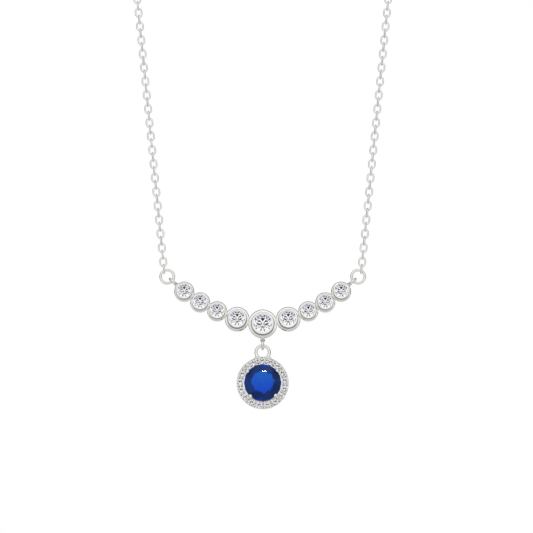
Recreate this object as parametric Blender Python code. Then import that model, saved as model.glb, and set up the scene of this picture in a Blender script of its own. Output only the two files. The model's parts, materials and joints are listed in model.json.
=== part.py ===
"""A pendant necklace, hung as it is worn.

A curved bar of nine round bezels hangs between two cable chains, and a round blue stone
in a halo of small stones swings below its centre. The chains close behind the neck with
a lobster clasp. The origin is the nape, where the clasp rests; the front faces -Y.
"""

import math

import bmesh
import bpy
from mathutils import Matrix, Vector

MM = 0.001

# Stones: girdle diameters, and the angles and shares of a round brilliant cut
BLUE_STONE = 6.0 * MM
CENTRE_STONE = 3.0 * MM
INNER_STONE = 2.5 * MM
OUTER_STONE = 2.2 * MM
HALO_STONE = 0.95 * MM
HALO_COUNT = 17
TABLE_SHARE = 0.57
GIRDLE_SHARE = 0.03
STAR_SHARE = 0.5
LOWER_HALF_SHARE = 0.75
CROWN_DEG = 34.5
PAVILION_DEG = 41.0
STONE_TURN_DEG = 22.5

# Stepped bezels of the bar: a collar with a narrower cup on it; walls around each stone, depths,
# taper of the cup, lip over the crown and bearing under the girdle
CENTRE_WALL = 0.85 * MM
INNER_WALL = 0.75 * MM
OUTER_WALL = 0.53 * MM
CENTRE_CUP = 0.32 * MM
INNER_CUP = 0.27 * MM
OUTER_CUP = 0.19 * MM
CUP_TAPER = 0.08 * MM
BAR_DEPTH = 1.5 * MM
COLLAR_DEPTH = 1.0 * MM
COLLAR_ROUND = 0.14 * MM
LIP_COVER = 0.04 * MM
LIP_THICK = 0.15 * MM
BEARING = 0.25 * MM
BEZEL_BITE = 0.15 * MM
BEZEL_STEP_DEG = (10.7, 21.6, 27.9, 34.4)

# Fixed rings of the bar: wire, radius and reach past the collar, each soldered on with a bead
END_LOOP_WIRE = 0.50 * MM
END_LOOP_RADIUS = 0.70 * MM
END_LOOP_REACH = 1.51 * MM
END_LOOP_DEG = 41.7
END_BEAD = 0.62 * MM
END_BEAD_SINK = 0.21 * MM
DROP_LOOP_WIRE = 0.52 * MM
DROP_LOOP_RADIUS = 0.70 * MM
DROP_LOOP_REACH = 1.74 * MM
DROP_BEAD = 0.76 * MM
DROP_BEAD_SINK = 0.08 * MM

# Jump rings between the bar and the chains
RING_OUTER = 2.58 * MM
RING_WIRE = 0.43 * MM
HOOK_DEG = 28.0

# Cable chain: pitch, width and wire of a link, links in each hinged run, lean of the strands
LINK_PITCH = 1.161 * MM
LINK_WIDTH = 1.24 * MM
LINK_WIRE = 0.27 * MM
RUN_LINKS = 20
STRAND_DEG = 5.9
SOLDER_BITE = 0.03 * MM

# Chain around the neck, closed behind it
NECK_DEPTH = 42.0 * MM
NECK_STRAIGHT = 42.0 * MM
NECK_RISE = 45.0 * MM
NECK_HANDLE_UP = 42.0 * MM
NECK_HANDLE_ROUND = 27.0 * MM
NECK_CHAIN = 1.0 * MM
NECK_POINTS = 24
NECK_SIDES = 6

# Pendant frame: halo plate, gallery collar, prongs and bail ring
HALO_SETBACK = 0.13 * MM
HALO_RIM = 0.08 * MM
HALO_PLATE = 0.9 * MM
HALO_SINK = 0.08 * MM
HALO_START_DEG = -1.5
HALO_SIDES = 8
SEAT_LEDGE = 0.4 * MM
GALLERY_DEPTH = 1.4 * MM
GALLERY_WALL = 0.5 * MM
PRONG_STEM = 0.26 * MM
PRONG_BALL = 0.72 * MM
PRONG_LEAN = 0.15 * MM
PRONG_COUNT = 4
PRONG_GAP_STEP = 4
PRONG_FIRST_GAP = 2
BAIL_OUTER = 2.65 * MM
BAIL_WIRE = 0.50 * MM
BAIL_SINK = 0.26 * MM

# Lobster clasp: claw ovals, eye, spring lever and its pin, and the ring that it holds
CLAW_LENGTH = 7.2 * MM
CLAW_WIDTH = 4.4 * MM
CLAW_THICK = 1.5 * MM
CLAW_WALL = 0.85 * MM
CLAW_BASE = 2.3 * MM
GATE_SETBACK = 1.3 * MM
GATE_TIP = 0.45 * MM
GATE_GAP = 0.14 * MM
SLOT_WIDTH = 0.9 * MM
SLOT_GAP = 0.04 * MM
HUB_RADIUS = 0.62 * MM
HUB_THICK = 0.42 * MM
PIN_WIRE = 0.5 * MM
SPRING_WIRE = 0.12 * MM
SPRING_TURNS = 2.5
TAB_REACH = 0.75 * MM
TAB_WIDTH = 0.6 * MM
EYE_OUTER = 2.0 * MM
EYE_WIRE = 0.55 * MM
END_RING_OUTER = 4.0 * MM
END_RING_WIRE = 0.5 * MM

# Clearances: a stone in its seat, one wire hooked in another, a pin in its hole
SEAT_GAP = 0.03 * MM
HOOK_GAP = 0.03 * MM
PIN_GAP = 0.03 * MM

# Facets of round pieces
WIRE_SIDES = 6
RING_SEGMENTS = 16
LINK_SIDES = 4
BEZEL_SEGMENTS = 16
CENTRE_SEGMENTS = 20
BALL_SEGMENTS = 10
PRONG_SIDES = 8
CLAW_SEGMENTS = 28
HOLLOW_SEGMENTS = 20
PIN_SEGMENTS = 12
HUB_SEGMENTS = 16
SPRING_SIDES = 4
SPRING_STEPS = 12
SHARP_DEG = 35.0

# Sizes that follow from the above
LINK_LENGTH = LINK_PITCH + 2 * LINK_WIRE - SOLDER_BITE
RING_RADIUS = (RING_OUTER - RING_WIRE) / 2
BAIL_RADIUS = (BAIL_OUTER - BAIL_WIRE) / 2
EYE_RADIUS = (EYE_OUTER - EYE_WIRE) / 2
LOOP_PLANE = COLLAR_DEPTH / 2 - BAR_DEPTH
END_RING_RADIUS = (END_RING_OUTER - END_RING_WIRE) / 2
GATE_LEFT = CLAW_BASE + GATE_SETBACK - CLAW_LENGTH / 2
GATE_RIGHT = CLAW_LENGTH / 2 - CLAW_WALL - GATE_TIP
HALO_PITCH_RADIUS = BLUE_STONE / 2 + HALO_SETBACK + HALO_STONE / 2
HALO_RADIUS = HALO_PITCH_RADIUS + HALO_STONE / 2 + SEAT_GAP + HALO_RIM
STRAND = Vector((math.sin(math.radians(STRAND_DEG)), 0.0, math.cos(math.radians(STRAND_DEG))))
FACE_FRONT = (math.radians(90.0), 0.0, 0.0)
SIDES = (("left", -1), ("right", 1))


def principled(name, colour, metallic, roughness, transmission=0.0, ior=1.5):
    """One material with a Principled shader."""
    material = bpy.data.materials.new(name)
    material.use_nodes = True
    shader = material.node_tree.nodes["Principled BSDF"]
    shader.inputs["Base Color"].default_value = (*colour, 1.0)
    shader.inputs["Metallic"].default_value = metallic
    shader.inputs["Roughness"].default_value = roughness
    shader.inputs["Transmission Weight"].default_value = transmission
    shader.inputs["IOR"].default_value = ior
    return material


def empty(name, parent, place):
    """An axis or group marker; its place is given in its parent's frame."""
    marker = bpy.data.objects.new(name, None)
    marker.empty_display_size = MM
    marker.parent = parent
    marker.location = place
    bpy.context.scene.collection.objects.link(marker)
    return marker


def solid(name, bm, material, parent, place, turn=(0.0, 0.0, 0.0), faceted=False):
    """Turn a bmesh into a named object with outward faces; round sides are smooth unless faceted."""
    bmesh.ops.recalc_face_normals(bm, faces=bm.faces)
    mesh = bpy.data.meshes.new(name)
    bm.to_mesh(mesh)
    bm.free()
    mesh.materials.append(material)
    if not faceted:
        mesh.shade_smooth()
        mesh.set_sharp_from_angle(angle=math.radians(SHARP_DEG))
    thing = bpy.data.objects.new(name, mesh)
    thing.parent = parent
    thing.location = place
    thing.rotation_euler = turn
    bpy.context.scene.collection.objects.link(thing)
    return thing


def boolean(thing, operation, name, bm):
    """Join or cut an object with a helper mesh that shares its frame."""
    helper = solid(name, bm, thing.data.materials[0], thing.parent, thing.location, thing.rotation_euler)
    helper.hide_render = True
    helper.display_type = "WIRE"
    modifier = thing.modifiers.new(name, "BOOLEAN")
    modifier.operation = operation
    modifier.object = helper


def ring_faces(bm, lower, upper):
    """Quads between two rings of vertices with the same count."""
    count = len(lower)
    for i in range(count):
        j = (i + 1) % count
        bm.faces.new((lower[i], lower[j], upper[j], upper[i]))


def sweep(bm, path, radius, sides, normal, closed):
    """A wire of a given section radius along a path, mitred at its corners, square to normal."""
    count = len(path)
    rings = []
    for i, point in enumerate(path):
        before = path[i - 1] if closed or i > 0 else 2 * point - path[1]
        after = path[(i + 1) % count] if closed or i < count - 1 else 2 * point - path[-2]
        leaving = (after - point).normalized()
        along = ((point - before).normalized() + leaving).normalized()
        normal = (normal - along * normal.dot(along)).normalized()
        across = along.cross(normal) / along.dot(leaving)
        ring = []
        for k in range(sides):
            angle = 2 * math.pi * (k + 0.5) / sides
            offset = normal * math.cos(angle) + across * math.sin(angle)
            ring.append(bm.verts.new(point + offset * radius))
        rings.append(ring)
    for i in range(count if closed else count - 1):
        ring_faces(bm, rings[i], rings[(i + 1) % count])
    if not closed:
        bm.faces.new(rings[0])
        bm.faces.new(rings[-1])


def ring_wire(bm, centre, radius, wire, axis, corner=None):
    """A closed round ring of wire about an axis; one of its corners lies toward corner if given."""
    axis = axis.normalized()
    half_step = Matrix.Rotation(math.pi / RING_SEGMENTS, 3, axis)
    first = corner or half_step @ axis.orthogonal().normalized()
    second = axis.cross(first)
    path = []
    for i in range(RING_SEGMENTS):
        angle = 2 * math.pi * i / RING_SEGMENTS
        path.append(centre + (first * math.cos(angle) + second * math.sin(angle)) * radius)
    sweep(bm, path, wire / 2, WIRE_SIDES, axis, True)


def turned(bm, profile, segments, place=None):
    """A closed profile of (radius, height) points turned about Z; radius 0 makes a pole."""
    place = place or Matrix.Identity(4)
    rings = []
    for radius, height in profile:
        if radius == 0.0:
            rings.append([bm.verts.new(place @ Vector((0.0, 0.0, height)))])
            continue
        ring = []
        for k in range(segments):
            angle = 2 * math.pi * k / segments
            spot = Vector((radius * math.cos(angle), radius * math.sin(angle), height))
            ring.append(bm.verts.new(place @ spot))
        rings.append(ring)
    for i, ring in enumerate(rings):
        following = rings[(i + 1) % len(rings)]
        if len(ring) == 1 and len(following) == 1:
            continue
        if len(ring) == 1 or len(following) == 1:
            pole, rim = (ring, following) if len(ring) == 1 else (following, ring)
            for k in range(segments):
                bm.faces.new((pole[0], rim[k], rim[(k + 1) % segments]))
            continue
        ring_faces(bm, ring, following)


def outside(radius, segments):
    """Corner radius of a polygon whose flats stay outside a circle."""
    return radius / math.cos(math.pi / segments)


def stone_heights(diameter):
    """Half girdle, table height and culet depth of a brilliant, measured from its girdle."""
    radius = diameter / 2
    girdle = GIRDLE_SHARE * radius
    table = girdle + radius * (1 - TABLE_SHARE) * math.tan(math.radians(CROWN_DEG))
    culet = -girdle - radius * math.tan(math.radians(PAVILION_DEG))
    return girdle, table, culet


def full_brilliant(diameter):
    """A round brilliant: table, stars, kites, girdle facets, pavilion mains and lower halves."""
    bm = bmesh.new()
    radius = diameter / 2
    girdle, table, culet = stone_heights(diameter)
    half = math.pi / 8
    table_radius = TABLE_SHARE * radius
    star_radius = table_radius * math.cos(half)
    star_radius += STAR_SHARE * (radius - star_radius)
    star_share = (radius - star_radius * math.cos(half)) / (radius - table_radius)
    star_height = girdle + (table - girdle) * star_share
    low_radius = (1 - LOWER_HALF_SHARE) * radius
    low_share = low_radius * math.cos(half) / radius
    low_height = culet + (-girdle - culet) * low_share

    def spot(step, reach, height):
        angle = math.radians(STONE_TURN_DEG) + step * half
        return bm.verts.new((reach * math.cos(angle), reach * math.sin(angle), height))

    tables = [spot(2 * i, table_radius, table) for i in range(8)]
    stars = [spot(2 * i + 1, star_radius, star_height) for i in range(8)]
    tops = [spot(i, radius, girdle) for i in range(16)]
    bottoms = [spot(i, radius, -girdle) for i in range(16)]
    lows = [spot(2 * i + 1, low_radius, low_height) for i in range(8)]
    point = bm.verts.new((0.0, 0.0, culet))
    bm.faces.new(tables)
    for i in range(8):
        j = (i + 1) % 8
        main, between, following = 2 * i, 2 * i + 1, (2 * i + 2) % 16
        bm.faces.new((tables[i], stars[i], tables[j]))
        bm.faces.new((tables[i], stars[i - 1], tops[main], stars[i]))
        bm.faces.new((stars[i], tops[main], tops[between]))
        bm.faces.new((stars[i], tops[between], tops[following]))
        bm.faces.new((lows[i], bottoms[between], bottoms[main]))
        bm.faces.new((lows[i], bottoms[following], bottoms[between]))
        bm.faces.new((point, lows[i], bottoms[main], lows[i - 1]))
    ring_faces(bm, bottoms, tops)
    return bm


def single_cut(diameter):
    """A small eight-sided stone: table, crown, girdle and pavilion."""
    bm = bmesh.new()
    radius = diameter / 2
    girdle, table, culet = stone_heights(diameter)
    profile = ((0.0, table), (TABLE_SHARE * radius, table), (radius, girdle), (radius, -girdle), (0.0, culet))
    turned(bm, profile, HALO_SIDES)
    return bm


def bezel(bm, stone, wall, cup, segments, centre):
    """One open-backed stepped bezel: collar, tapered cup with its lip over the crown, and bearing."""
    radius = stone / 2
    girdle = stone_heights(stone)[0]
    lip = radius - LIP_COVER
    under = girdle + LIP_COVER * math.tan(math.radians(CROWN_DEG)) + SEAT_GAP
    rim = under + LIP_THICK
    step = COLLAR_DEPTH - BAR_DEPTH
    seat = outside(radius + SEAT_GAP, segments)
    ledge = -girdle - SEAT_GAP
    hole = radius - BEARING
    profile = (
        (radius + wall, -BAR_DEPTH),
        (radius + wall, step - COLLAR_ROUND),
        (radius + wall - COLLAR_ROUND, step),
        (radius + cup + CUP_TAPER, step),
        (radius + cup, rim),
        (lip, rim),
        (lip, under),
        (seat, girdle + SEAT_GAP),
        (seat, ledge),
        (outside(hole, segments), ledge - BEARING * math.tan(math.radians(PAVILION_DEG)) - SEAT_GAP),
        (outside(hole, segments), -BAR_DEPTH),
    )
    turned(bm, profile, segments, Matrix.Translation(centre))


def bezel_layout():
    """Centre, stone, wall and cup of the four bezels to one side, each stepped from the one before."""
    inner = (INNER_STONE, INNER_WALL, INNER_CUP)
    outer = (OUTER_STONE, OUTER_WALL, OUTER_CUP)
    place = Vector((0.0, 0.0, 0.0))
    before = CENTRE_STONE / 2 + CENTRE_WALL
    layout = []
    for (stone, wall, cup), step in zip((inner, outer, outer, outer), BEZEL_STEP_DEG):
        reach = stone / 2 + wall
        angle = math.radians(step)
        place = place + Vector((math.cos(angle), math.sin(angle), 0.0)) * (before + reach - BEZEL_BITE)
        layout.append((place, stone, wall, cup))
        before = reach
    return layout


def fixed_ring(bm, centre, heading, reach, radius, wire):
    """A ring of wire that reaches out from a bezel's centre, in the plane of its heading and the depth."""
    depth = Vector((0.0, 0.0, 1.0))
    middle = centre + heading * (reach - radius) + depth * LOOP_PLANE
    ring_wire(bm, middle, radius, wire, heading.cross(depth), heading)


def ball(bm, centre, diameter):
    """A round ball."""
    radius = diameter / 2
    profile = [(0.0, -radius)]
    for degrees in (-45.0, 0.0, 45.0):
        angle = math.radians(degrees)
        profile.append((radius * math.cos(angle), radius * math.sin(angle)))
    profile.append((0.0, radius))
    turned(bm, profile, BALL_SEGMENTS, Matrix.Translation(centre))


def bead(bm, centre, heading, reach, diameter):
    """A round bead of solder at a reach from a bezel's centre."""
    ball(bm, centre + heading * reach + Vector((0.0, 0.0, LOOP_PLANE)), diameter)


def link(bm, place, flat):
    """One oval link along Z of its place: face-on in XZ when flat, edge-on in YZ otherwise."""
    across = Vector((1.0, 0.0, 0.0)) if flat else Vector((0.0, 1.0, 0.0))
    normal = Vector((0.0, 1.0, 0.0)) if flat else Vector((1.0, 0.0, 0.0))
    up = Vector((0.0, 0.0, 1.0))
    half_width = (LINK_WIDTH - LINK_WIRE) / 2
    half_length = (LINK_LENGTH - LINK_WIRE) / 2
    shoulder = half_length - half_width
    crest = math.sin(math.radians(60.0))
    path = []
    for end in (1, -1):
        for degrees in (0.0, 60.0, 120.0, 180.0):
            angle = math.radians(degrees)
            rise = shoulder + half_width * math.sin(angle) / crest
            path.append(place @ (end * (across * half_width * math.cos(angle) + up * rise)))
    sweep(bm, path, outside(LINK_WIRE / 2, LINK_SIDES), LINK_SIDES, place.to_3x3() @ normal, True)


def chain_run(name, material, parent, place, lean):
    """A straight run of links hanging from its top wire, edge-on link lowest, soldered at each contact."""
    faces = bmesh.new()
    edges = bmesh.new()
    top = (LINK_LENGTH - LINK_WIRE) / 2
    for i in range(RUN_LINKS):
        flat = i % 2 == 0
        place_on_run = Matrix.Translation((0.0, 0.0, -top - i * LINK_PITCH))
        link(faces if flat else edges, place_on_run, flat)
    thing = solid(name, faces, material, parent, place, (0.0, lean, 0.0))
    boolean(thing, "UNION", name + "_edge_links", edges)


def run_span():
    """Distance from a run's top hinge wire to the wire centre of its lowest link."""
    return (RUN_LINKS - 1) * LINK_PITCH + LINK_LENGTH - LINK_WIRE


def bezier(points, count):
    """Points along one cubic curve."""
    a, b, c, d = points
    path = []
    for i in range(count + 1):
        t = i / count
        s = 1 - t
        path.append(a * s ** 3 + b * (3 * s * s * t) + c * (3 * s * t * t) + d * t ** 3)
    return path


def neck_chain(name, side, material, parent, hinge, nape_end):
    """The chain from a front strand up over the shoulder to the clasp, with a real link at each end."""
    lean = Vector((side * STRAND.x, 0.0, STRAND.z))
    link_centre = hinge + lean * ((LINK_LENGTH - LINK_WIRE) / 2 - LINK_WIRE - HOOK_GAP)
    start = link_centre + lean * LINK_LENGTH / 4
    shoulder = start + lean * NECK_STRAIGHT
    tail = nape_end + Vector((side * LINK_LENGTH / 4, 0.0, 0.0))
    curve = bezier(
        (
            shoulder,
            shoulder + lean * NECK_HANDLE_UP,
            tail + Vector((side * NECK_HANDLE_ROUND, 0.0, 0.0)),
            tail,
        ),
        NECK_POINTS,
    )
    bm = bmesh.new()
    sweep(bm, [start] + curve, NECK_CHAIN / 2, NECK_SIDES, Vector((0.0, 1.0, 0.0)), False)
    thing = solid(name, bm, material, parent, (0.0, 0.0, 0.0))
    ends = bmesh.new()
    leaning = Matrix.Rotation(side * math.radians(STRAND_DEG), 4, "Y")
    lying = Matrix.Rotation(math.radians(90.0), 4, "Y")
    link(ends, Matrix.Translation(link_centre) @ leaning, False)
    link(ends, Matrix.Translation(nape_end) @ lying, True)
    boolean(thing, "UNION", name + "_end_links", ends)


def bezel_bar(material, parent, place, layout):
    """Nine bezels cast in one curve, with a ring on a bead at each end and below the middle."""
    odd = bmesh.new()
    even = bmesh.new()
    beads = bmesh.new()
    middle = Vector((0.0, 0.0, 0.0))
    bezel(odd, CENTRE_STONE, CENTRE_WALL, CENTRE_CUP, CENTRE_SEGMENTS, middle)
    for number, (spot, stone, wall, cup) in enumerate(layout):
        for _, side in SIDES:
            centre = Vector((side * spot.x, spot.y, 0.0))
            bezel(even if number % 2 == 0 else odd, stone, wall, cup, BEZEL_SEGMENTS, centre)
    last, stone, wall, _ = layout[-1]
    edge = stone / 2 + wall
    angle = math.radians(END_LOOP_DEG)
    for _, side in SIDES:
        heading = Vector((side * math.cos(angle), math.sin(angle), 0.0))
        centre = Vector((side * last.x, last.y, 0.0))
        fixed_ring(even, centre, heading, edge + END_LOOP_REACH, END_LOOP_RADIUS, END_LOOP_WIRE)
        bead(beads, centre, heading, edge + END_BEAD / 2 - END_BEAD_SINK, END_BEAD)
    down = Vector((0.0, -1.0, 0.0))
    edge = CENTRE_STONE / 2 + CENTRE_WALL
    fixed_ring(even, middle, down, edge + DROP_LOOP_REACH, DROP_LOOP_RADIUS, DROP_LOOP_WIRE)
    bead(beads, middle, down, edge + DROP_BEAD / 2 - DROP_BEAD_SINK, DROP_BEAD)
    thing = solid("bezel_bar", odd, material, parent, place, FACE_FRONT)
    boolean(thing, "UNION", "bezels_between_and_rings", even)
    boolean(thing, "UNION", "ring_beads", beads)


def prong(stems, balls, gap):
    """A round prong at a gap of the halo: a stem beside the girdle and a ball that leans over the crown."""
    stem = PRONG_STEM / 2
    crown = math.radians(CROWN_DEG)
    girdle = stone_heights(BLUE_STONE)[0]
    away = stem + SEAT_GAP - PRONG_LEAN
    rise = (PRONG_BALL / 2 + SEAT_GAP - away * math.sin(crown)) / math.cos(crown)
    height = blue_seat() + girdle + rise
    profile = ((0.0, -HALO_PLATE / 2), (stem, -HALO_PLATE / 2), (stem, height), (0.0, height))
    foot = on_halo(gap, BLUE_STONE / 2 + stem + SEAT_GAP, 0.0)
    turned(stems, profile, PRONG_SIDES, Matrix.Translation(foot))
    ball(balls, on_halo(gap, BLUE_STONE / 2 + away, height), PRONG_BALL)


def blue_seat():
    """Height of the blue stone's girdle above the halo plate."""
    slope = math.radians(PAVILION_DEG)
    girdle = stone_heights(BLUE_STONE)[0]
    return girdle + SEAT_LEDGE * math.tan(slope) + SEAT_GAP / math.cos(slope)


def halo_angle(step):
    """Clockwise place of a halo stone, or of a gap at half steps, as an angle from +X."""
    return math.radians(90.0 - HALO_START_DEG - step * 360.0 / HALO_COUNT)


def on_halo(step, radius, height):
    """A point at a halo step, in the pendant's own frame with the front at +Z."""
    angle = halo_angle(step)
    return Vector((radius * math.cos(angle), radius * math.sin(angle), height))


def pendant_frame(material, parent, place):
    """Halo plate with a gallery collar behind it, prongs, bail ring and drilled seats."""
    hole = BLUE_STONE / 2 - SEAT_LEDGE
    back = -HALO_PLATE - GALLERY_DEPTH
    segments = 2 * HALO_COUNT
    plate = bmesh.new()
    profile = (
        (outside(hole, segments), 0.0),
        (outside(hole, segments), -HALO_PLATE / 2),
        (outside(hole - GALLERY_WALL / 2, segments), back),
        (outside(hole + GALLERY_WALL / 2, segments), back),
        (outside(hole + GALLERY_WALL, segments), -HALO_PLATE),
        (HALO_RADIUS, -HALO_PLATE),
        (HALO_RADIUS, 0.0),
    )
    turned(plate, profile, segments)
    thing = solid("pendant_frame", plate, material, parent, place, FACE_FRONT)
    stems = bmesh.new()
    balls = bmesh.new()
    for i in range(PRONG_COUNT):
        prong(stems, balls, PRONG_FIRST_GAP + PRONG_GAP_STEP * i + 0.5)
    ring_top = HALO_RADIUS - BAIL_SINK + BAIL_RADIUS
    bail_centre = Vector((0.0, ring_top, -HALO_PLATE / 2))
    ring_wire(stems, bail_centre, BAIL_RADIUS, BAIL_WIRE, Vector((0.0, 0.0, 1.0)))
    boolean(thing, "UNION", "prong_stems_and_bail", stems)
    boolean(thing, "UNION", "prong_balls", balls)
    seats = bmesh.new()
    girdle = stone_heights(HALO_STONE)[0]
    radius = HALO_STONE / 2
    ledge = -HALO_SINK - girdle - SEAT_GAP
    drill = radius / 3
    floor = ledge - (radius - drill) * math.tan(math.radians(PAVILION_DEG)) - SEAT_GAP
    seat_profile = (
        (0.0, HALO_PLATE / 2),
        (outside(radius + SEAT_GAP, HALO_SIDES), HALO_PLATE / 2),
        (outside(radius + SEAT_GAP, HALO_SIDES), ledge),
        (outside(drill, HALO_SIDES), floor),
        (outside(drill, HALO_SIDES), -1.5 * HALO_PLATE),
        (0.0, -1.5 * HALO_PLATE),
    )
    for i in range(HALO_COUNT):
        turned(seats, seat_profile, HALO_SIDES, Matrix.Translation(on_halo(i, HALO_PITCH_RADIUS, 0.0)))
    boolean(thing, "DIFFERENCE", "halo_seats", seats)


def oval(bm, centre, half_length, half_width, thick, segments):
    """An upright oval block, its flat sides facing -Y and +Y."""
    fronts = []
    backs = []
    for i in range(segments):
        angle = 2 * math.pi * (i + 0.5) / segments
        x = centre + half_length * math.cos(angle)
        z = half_width * math.sin(angle)
        fronts.append(bm.verts.new((x, -thick / 2, z)))
        backs.append(bm.verts.new((x, thick / 2, z)))
    bm.faces.new(fronts)
    bm.faces.new(backs)
    ring_faces(bm, fronts, backs)


def block(bm, low, high):
    """A box between two corners."""
    size = Vector(high) - Vector(low)
    middle = (Vector(high) + Vector(low)) / 2
    matrix = Matrix.Translation(middle) @ Matrix.Diagonal((*size, 1.0))
    bmesh.ops.create_cube(bm, size=1.0, matrix=matrix)


def pin_cylinder(bm, radius, low, high, segments=PIN_SEGMENTS):
    """A cylinder along Y."""
    turn = Matrix.Rotation(math.radians(90.0), 4, "X")
    turned(bm, ((0.0, -low), (radius, -low), (radius, -high), (0.0, -high)), segments, turn)


def pin_place():
    """The lever's pin in the clasp's frame: in the base, close to the gate side."""
    return Vector((GATE_LEFT - HUB_RADIUS - GATE_GAP, 0.0, -CLAW_WIDTH / 2 + CLAW_WALL))


def claw_hollow(bm, thick):
    """The opening inside the claw, clear of the base."""
    half_length = (CLAW_LENGTH - CLAW_WALL - CLAW_BASE) / 2
    middle = CLAW_LENGTH / 2 - CLAW_WALL - half_length
    oval(bm, middle, half_length, CLAW_WIDTH / 2 - CLAW_WALL, thick, HOLLOW_SEGMENTS)


def clasp_body(material, parent, place):
    """The claw: an oval hook with a base, a gate cut for the lever, a slot for its hub and an eye."""
    body = bmesh.new()
    oval(body, 0.0, CLAW_LENGTH / 2, CLAW_WIDTH / 2, CLAW_THICK, CLAW_SEGMENTS)
    thing = solid("clasp_body", body, material, parent, place)
    hollow = bmesh.new()
    claw_hollow(hollow, 2 * CLAW_THICK)
    boolean(thing, "DIFFERENCE", "claw_hollow", hollow)
    gate = bmesh.new()
    block(gate, (GATE_LEFT, -CLAW_THICK, -CLAW_WIDTH), (GATE_RIGHT, CLAW_THICK, 0.0))
    boolean(thing, "DIFFERENCE", "gate_cut", gate)
    slot = bmesh.new()
    pin = pin_place()
    clear = HUB_RADIUS + GATE_GAP
    block(
        slot,
        (pin.x - clear, -SLOT_WIDTH / 2, -CLAW_WIDTH),
        (GATE_LEFT + GATE_GAP, SLOT_WIDTH / 2, pin.z + clear),
    )
    boolean(thing, "DIFFERENCE", "lever_slot", slot)
    bore = bmesh.new()
    pin_cylinder(bore, outside(PIN_WIRE / 2 + PIN_GAP, PIN_SEGMENTS), -CLAW_THICK, CLAW_THICK)
    bmesh.ops.translate(bore, verts=bore.verts, vec=pin)
    boolean(thing, "DIFFERENCE", "pin_bore", bore)
    eye = bmesh.new()
    eye_centre = Vector((-CLAW_LENGTH / 2 - EYE_RADIUS, 0.0, 0.0))
    ring_wire(eye, eye_centre, EYE_RADIUS, EYE_WIRE, Vector((0.0, 1.0, 0.0)))
    boolean(thing, "UNION", "eye", eye)


def clasp_trigger(material, pivot):
    """The spring lever: a gate bar that fills the cut, a hub on the pin and a thumb tab outside."""
    pin = pin_place()
    lever = bmesh.new()
    oval(lever, 0.0, CLAW_LENGTH / 2, CLAW_WIDTH / 2, CLAW_THICK - 2 * SLOT_GAP, CLAW_SEGMENTS)
    bmesh.ops.translate(lever, verts=lever.verts, vec=-pin)
    thing = solid("clasp_trigger", lever, material, pivot, (0.0, 0.0, 0.0))
    hollow = bmesh.new()
    claw_hollow(hollow, 2 * CLAW_THICK)
    bmesh.ops.translate(hollow, verts=hollow.verts, vec=-pin)
    boolean(thing, "DIFFERENCE", "lever_hollow", hollow)
    keep = bmesh.new()
    low = Vector((GATE_LEFT + GATE_GAP, -CLAW_THICK, -CLAW_WIDTH))
    high = Vector((GATE_RIGHT - GATE_GAP, CLAW_THICK, -CLAW_WALL / 2))
    block(keep, low - pin, high - pin)
    boolean(thing, "INTERSECT", "gate_length", keep)
    hub = bmesh.new()
    near = -SLOT_WIDTH / 2 + SLOT_GAP
    far = near + HUB_THICK
    pin_cylinder(hub, HUB_RADIUS, near, far, HUB_SEGMENTS)
    boolean(thing, "UNION", "hub", hub)
    arm = bmesh.new()
    block(
        arm,
        (0.0, near + SLOT_GAP / 4, -CLAW_WALL / 2),
        (GATE_LEFT + 2 * GATE_GAP - pin.x + TAB_WIDTH / 2, far - SLOT_GAP / 4, HUB_RADIUS / 2),
    )
    boolean(thing, "UNION", "lever_arm", arm)
    tab = bmesh.new()
    block(
        tab,
        (-TAB_WIDTH / 2, near + SLOT_GAP / 2, -CLAW_WALL - TAB_REACH),
        (TAB_WIDTH / 2, far - SLOT_GAP / 2, 0.0),
    )
    boolean(thing, "UNION", "thumb_tab", tab)
    bore = bmesh.new()
    pin_cylinder(bore, outside(PIN_WIRE / 2 + PIN_GAP, PIN_SEGMENTS), -CLAW_THICK, CLAW_THICK)
    boolean(thing, "DIFFERENCE", "hub_bore", bore)


def clasp_spring(material, pivot):
    """A torsion spring wound on the pin beside the hub."""
    radius = PIN_WIRE / 2 + 2 * PIN_GAP + SPRING_WIRE / 2
    start = -SLOT_WIDTH / 2 + HUB_THICK + 2 * SLOT_GAP + SPRING_WIRE / 2
    end = SLOT_WIDTH / 2 - SLOT_GAP - SPRING_WIRE / 2
    steps = round(SPRING_TURNS * SPRING_STEPS)
    path = []
    for i in range(steps + 1):
        angle = 2 * math.pi * SPRING_TURNS * i / steps
        depth = start + (end - start) * i / steps
        path.append(Vector((radius * math.cos(angle), depth, radius * math.sin(angle))))
    bm = bmesh.new()
    sweep(bm, path, SPRING_WIRE / 2, SPRING_SIDES, Vector((0.0, 1.0, 0.0)), False)
    solid("clasp_spring", bm, material, pivot, (0.0, 0.0, 0.0))


def clasp_pin(material, pivot):
    """The rivet that carries the lever, flush with the cheeks."""
    bm = bmesh.new()
    pin_cylinder(bm, PIN_WIRE / 2, -CLAW_THICK / 2, CLAW_THICK / 2)
    solid("clasp_pin", bm, material, pivot, (0.0, 0.0, 0.0))


def single_ring(name, material, parent, place, radius, wire, axis):
    """A closed jump ring of its own."""
    bm = bmesh.new()
    ring_wire(bm, Vector((0.0, 0.0, 0.0)), radius, wire, axis)
    solid(name, bm, material, parent, place)


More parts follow.
